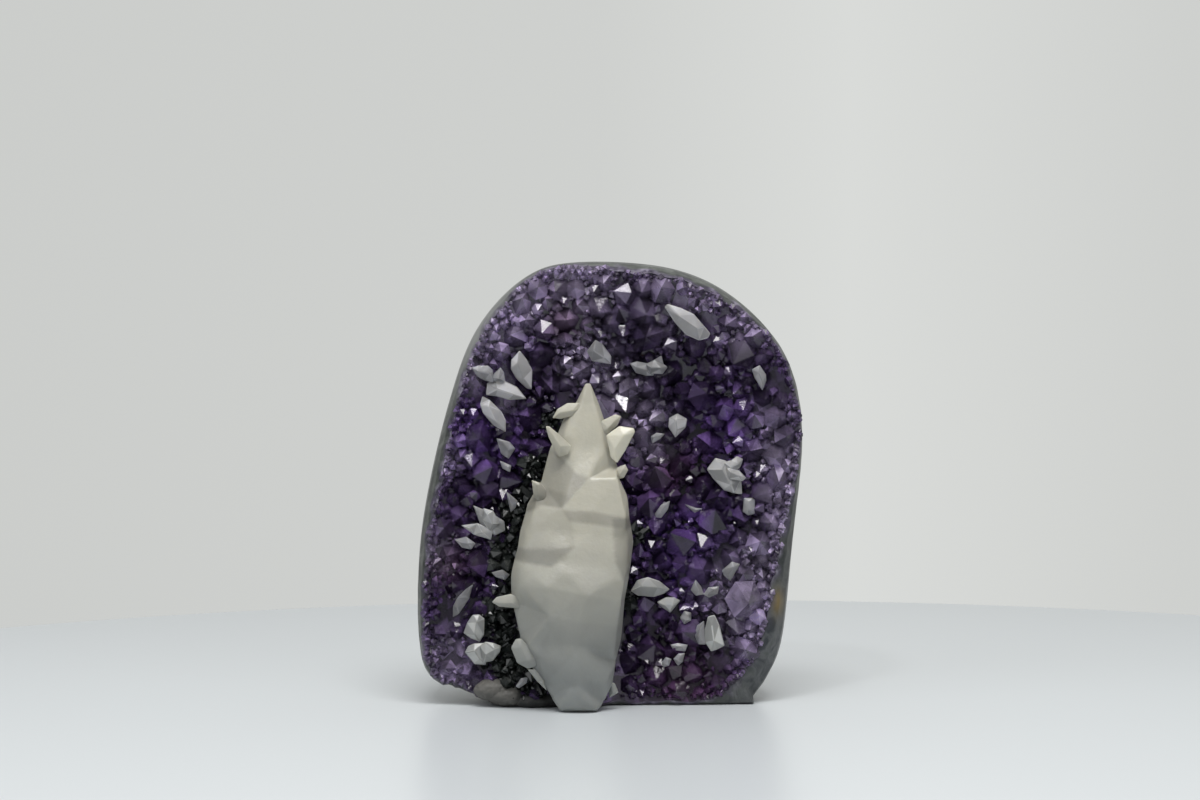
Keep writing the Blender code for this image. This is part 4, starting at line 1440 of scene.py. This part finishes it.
def spire_body():
    """The spire without its teeth: its facets in front, a plain back that stands in the crust."""
    edge_count = len(SPIRE_EDGE)
    names = list(SPIRE_FRONT_CORNERS)
    corners = [Vector(place) for place in (*SPIRE_EDGE, *SPIRE_FRONT_CORNERS.values())]
    border = around(edge_count)
    lines = []
    for line in SPIRE_LINES:
        steps = [edge_count + names.index(name) for name in line]
        lines += zip(steps, steps[1:])
    shape = bmesh.new()
    front = [shape.verts.new(corner) for corner in corners]
    add_faces(shape, front, flat_faces([corner.xz for corner in corners], border + lines))
    back = [shape.verts.new(spire_back(corner)) for corner in corners[:edge_count]]
    bridge(shape, front[:edge_count], back)
    add_faces(shape, back, flat_faces([vertex.co.xz for vertex in back], border))

    body = link("spire_body", to_mesh("spire", shape))
    wear = body.vertex_groups.new(name="wear")
    wear.add(list(range(len(body.data.vertices))), BORDER_WEAR, "REPLACE")
    for i, name in enumerate(names):
        wear.add([edge_count + i], CRISP_WEAR if name in SPIRE_CRISP_CORNERS else 1.0, "REPLACE")
    finer = body.modifiers.new("finer", "SUBSURF")
    finer.subdivision_type = "SIMPLE"
    finer.levels = SPIRE_FINENESS
    worn = body.modifiers.new("worn edges", "SMOOTH")
    worn.iterations = SPIRE_WEAR_STEPS
    worn.vertex_group = wear.name
    bake_modifiers(body)
    mesh = body.data
    bpy.data.objects.remove(body)
    return mesh


def inside_polygon(corners, x, z):
    inside = False
    for (x0, z0), (x1, z1) in zip(corners, (*corners[1:], corners[0])):
        if (z0 > z) != (z1 > z) and x < x0 + (z - z0) / (z1 - z0) * (x1 - x0):
            inside = not inside
    return inside


def paint_spire_shading(mesh):
    """Gives each place on the spire the painted shade of the facet outlines that it is in, a little
    blurred.
    """
    shifts = list(product((-SHADING_BLUR, 0.0, SHADING_BLUR), repeat=2))
    values = []
    for vertex in mesh.vertices:
        place = build_place(vertex.co)
        value = 1.0
        for level, corners in SPIRE_PAINTED_SHADING:
            hits = sum(inside_polygon(corners, place.x + dx, place.z + dz) for dx, dz in shifts)
            value *= 1.0 + (level - 1.0) * hits / len(shifts)
        values.append(value)
    set_values(mesh, "painted_shade", values)


def build_spire():
    random = np.random.default_rng(SEED + 2)
    teeth = [outlined_crystal(corners, depth, TOOTH_WEAR, random) for depth, corners in SPIRE_TEETH]
    obj = fuse("calcite_spire_crystal", [spire_body(), *teeth])
    paint_spire_shading(obj.data)
    even_normals(obj)
    # The spire goes from warm cream at the top to darker grey-green at the foot; the darkening towards the
    # foot is painted shade of the light from above
    obj.data.materials.append(calcite_material(
        "spire calcite", (0.415, 0.4, 0.335), (0.25, 0.262, 0.255), (2.0, 62.0),
        cloudiness=0.12, clearness=0.0, painted_shade="painted_shade",
    ))
    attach(obj, "root")
    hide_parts("calcite_spire")


def calcites_on_crust(name, outlines, step, material, random):
    """Small crystals as one object, each a step further in front of the crust than the last."""
    meshes = []
    for i, corners in enumerate(outlines):
        x, z = np.mean(corners, axis=0)
        depth = crust_y(x, z) - SMALL_STANDOFF - i * step
        meshes.append(outlined_crystal(corners, depth, SMALL_WEAR, random))
    obj = fuse(name, meshes)
    obj.data.materials.append(material)
    even_normals(obj)
    # A painted shade on each facet, for how it catches the light
    paint_facet_shades(obj.data, lambda polygon: 0, *PAINTED_CALCITE_SHADES, random)
    return obj


def build_small_calcites():
    random = np.random.default_rng(SEED + 3)
    heights = (20.0, 90.0)
    material = calcite_material(
        "small calcite", (0.5, 0.495, 0.51), (0.53, 0.54, 0.53), heights,
        cloudiness=0.35, clearness=0.35, painted_shade="facet",
    )
    clear = calcite_material(
        "clear calcite", (0.5, 0.5, 0.53), (0.52, 0.52, 0.54), heights,
        cloudiness=0.55, clearness=0.6, painted_shade="facet",
    )
    for node_name, crystals in SMALL_CALCITES:
        name = node_name.replace("calcite", "small_calcite")
        dress = clear if node_name in CLEAR_CALCITES else material
        obj = calcites_on_crust(name, crystals, CLUSTER_STEP, dress, random)
        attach(obj, "root")
        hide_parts(node_name)
    obj = calcites_on_crust("calcite_bits", CALCITE_BITS, 0.0, clear, random)
    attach(obj, "root")


# Table, light and camera

def build_table():
    shape = bmesh.new()
    bmesh.ops.create_circle(shape, cap_ends=True, segments=160, radius=TABLE_RADIUS)
    bmesh.ops.translate(shape, vec=TABLE_MIDDLE, verts=shape.verts)
    obj = link("table", to_mesh("table", shape))
    material, tree, shader, _ = new_material("table top")
    set_inputs(tree, shader, Base_Color=(0.56, 0.59, 0.61, 1.0), Roughness=0.32)
    obj.data.materials.append(material)


def build_world():
    """A plain studio: dim in front, bright behind, and a little brighter on the right."""
    world = bpy.data.worlds.new("studio")
    bpy.context.scene.world = world
    world.use_nodes = True
    tree = world.node_tree
    where = tree.nodes.new("ShaderNodeTexCoord").outputs["Generated"]
    backwards = map_range(tree, along_axis(tree, where, "Y"), From_Min=-0.2, From_Max=0.7)
    sideways = map_range(tree, along_axis(tree, where, "X"), From_Min=-0.2, From_Max=0.2)
    colour = ramp(tree, backwards, (0.0, (0.3, 0.305, 0.31)), (1.0, (0.675, 0.688, 0.672)))
    glow = ramp(tree, sideways, (0.0, 0.89), (0.5, 0.92), (0.72, 1.03), (1.0, 0.92))
    set_inputs(tree, tree.nodes["Background"], Color=multiplied(tree, colour, glow))


def add_light(name, at, towards, size, power, colour=(1.0, 1.0, 1.0)):
    light = bpy.data.lights.new(name, "AREA")
    light.shape = "RECTANGLE"
    light.size, light.size_y = size
    light.energy = power
    light.color = colour
    obj = link(name, light)
    obj.location = at
    obj.rotation_euler = (Vector(towards) - Vector(at)).to_track_quat("-Z", "Y").to_euler()


def build_lights():
    add_light("overhead", OVERHEAD_LAMP, (0.0, 0.0, 0.05), (0.45, 0.35), 6.0, (1.0, 0.99, 0.97))
    add_light("front right", (0.5, -0.75, 0.5), (0.0, 0.0, 0.06), (0.8, 0.7), 1.15)
    add_light("front left", (-0.7, -0.55, 0.45), (0.0, 0.0, 0.02), (0.7, 0.7), 1.9, (0.96, 0.98, 1.0))
    add_light("spark", (-0.2, -0.5, 0.7), (0.0, 0.0, 0.06), (0.07, 0.07), 1.0)


def build_camera():
    camera = bpy.data.cameras.new("camera")
    camera.lens = LENS
    camera.sensor_width = SENSOR_WIDTH
    camera.clip_start = 0.01
    obj = link("camera", camera)
    obj.location = (Vector(CAMERA_AT) + ORIGIN) * MM
    obj.rotation_euler = (math.radians(90) - CAMERA_DOWN, 0.0, 0.0)
    bpy.context.scene.camera = obj


footprint = Footprint()
build_camera()
build_world()
build_lights()
build_table()
build_rock()
build_amethyst()
build_druse()
build_foot_lumps()
build_spire()
build_small_calcites()
bpy.context.scene.view_settings.view_transform = "Standard"
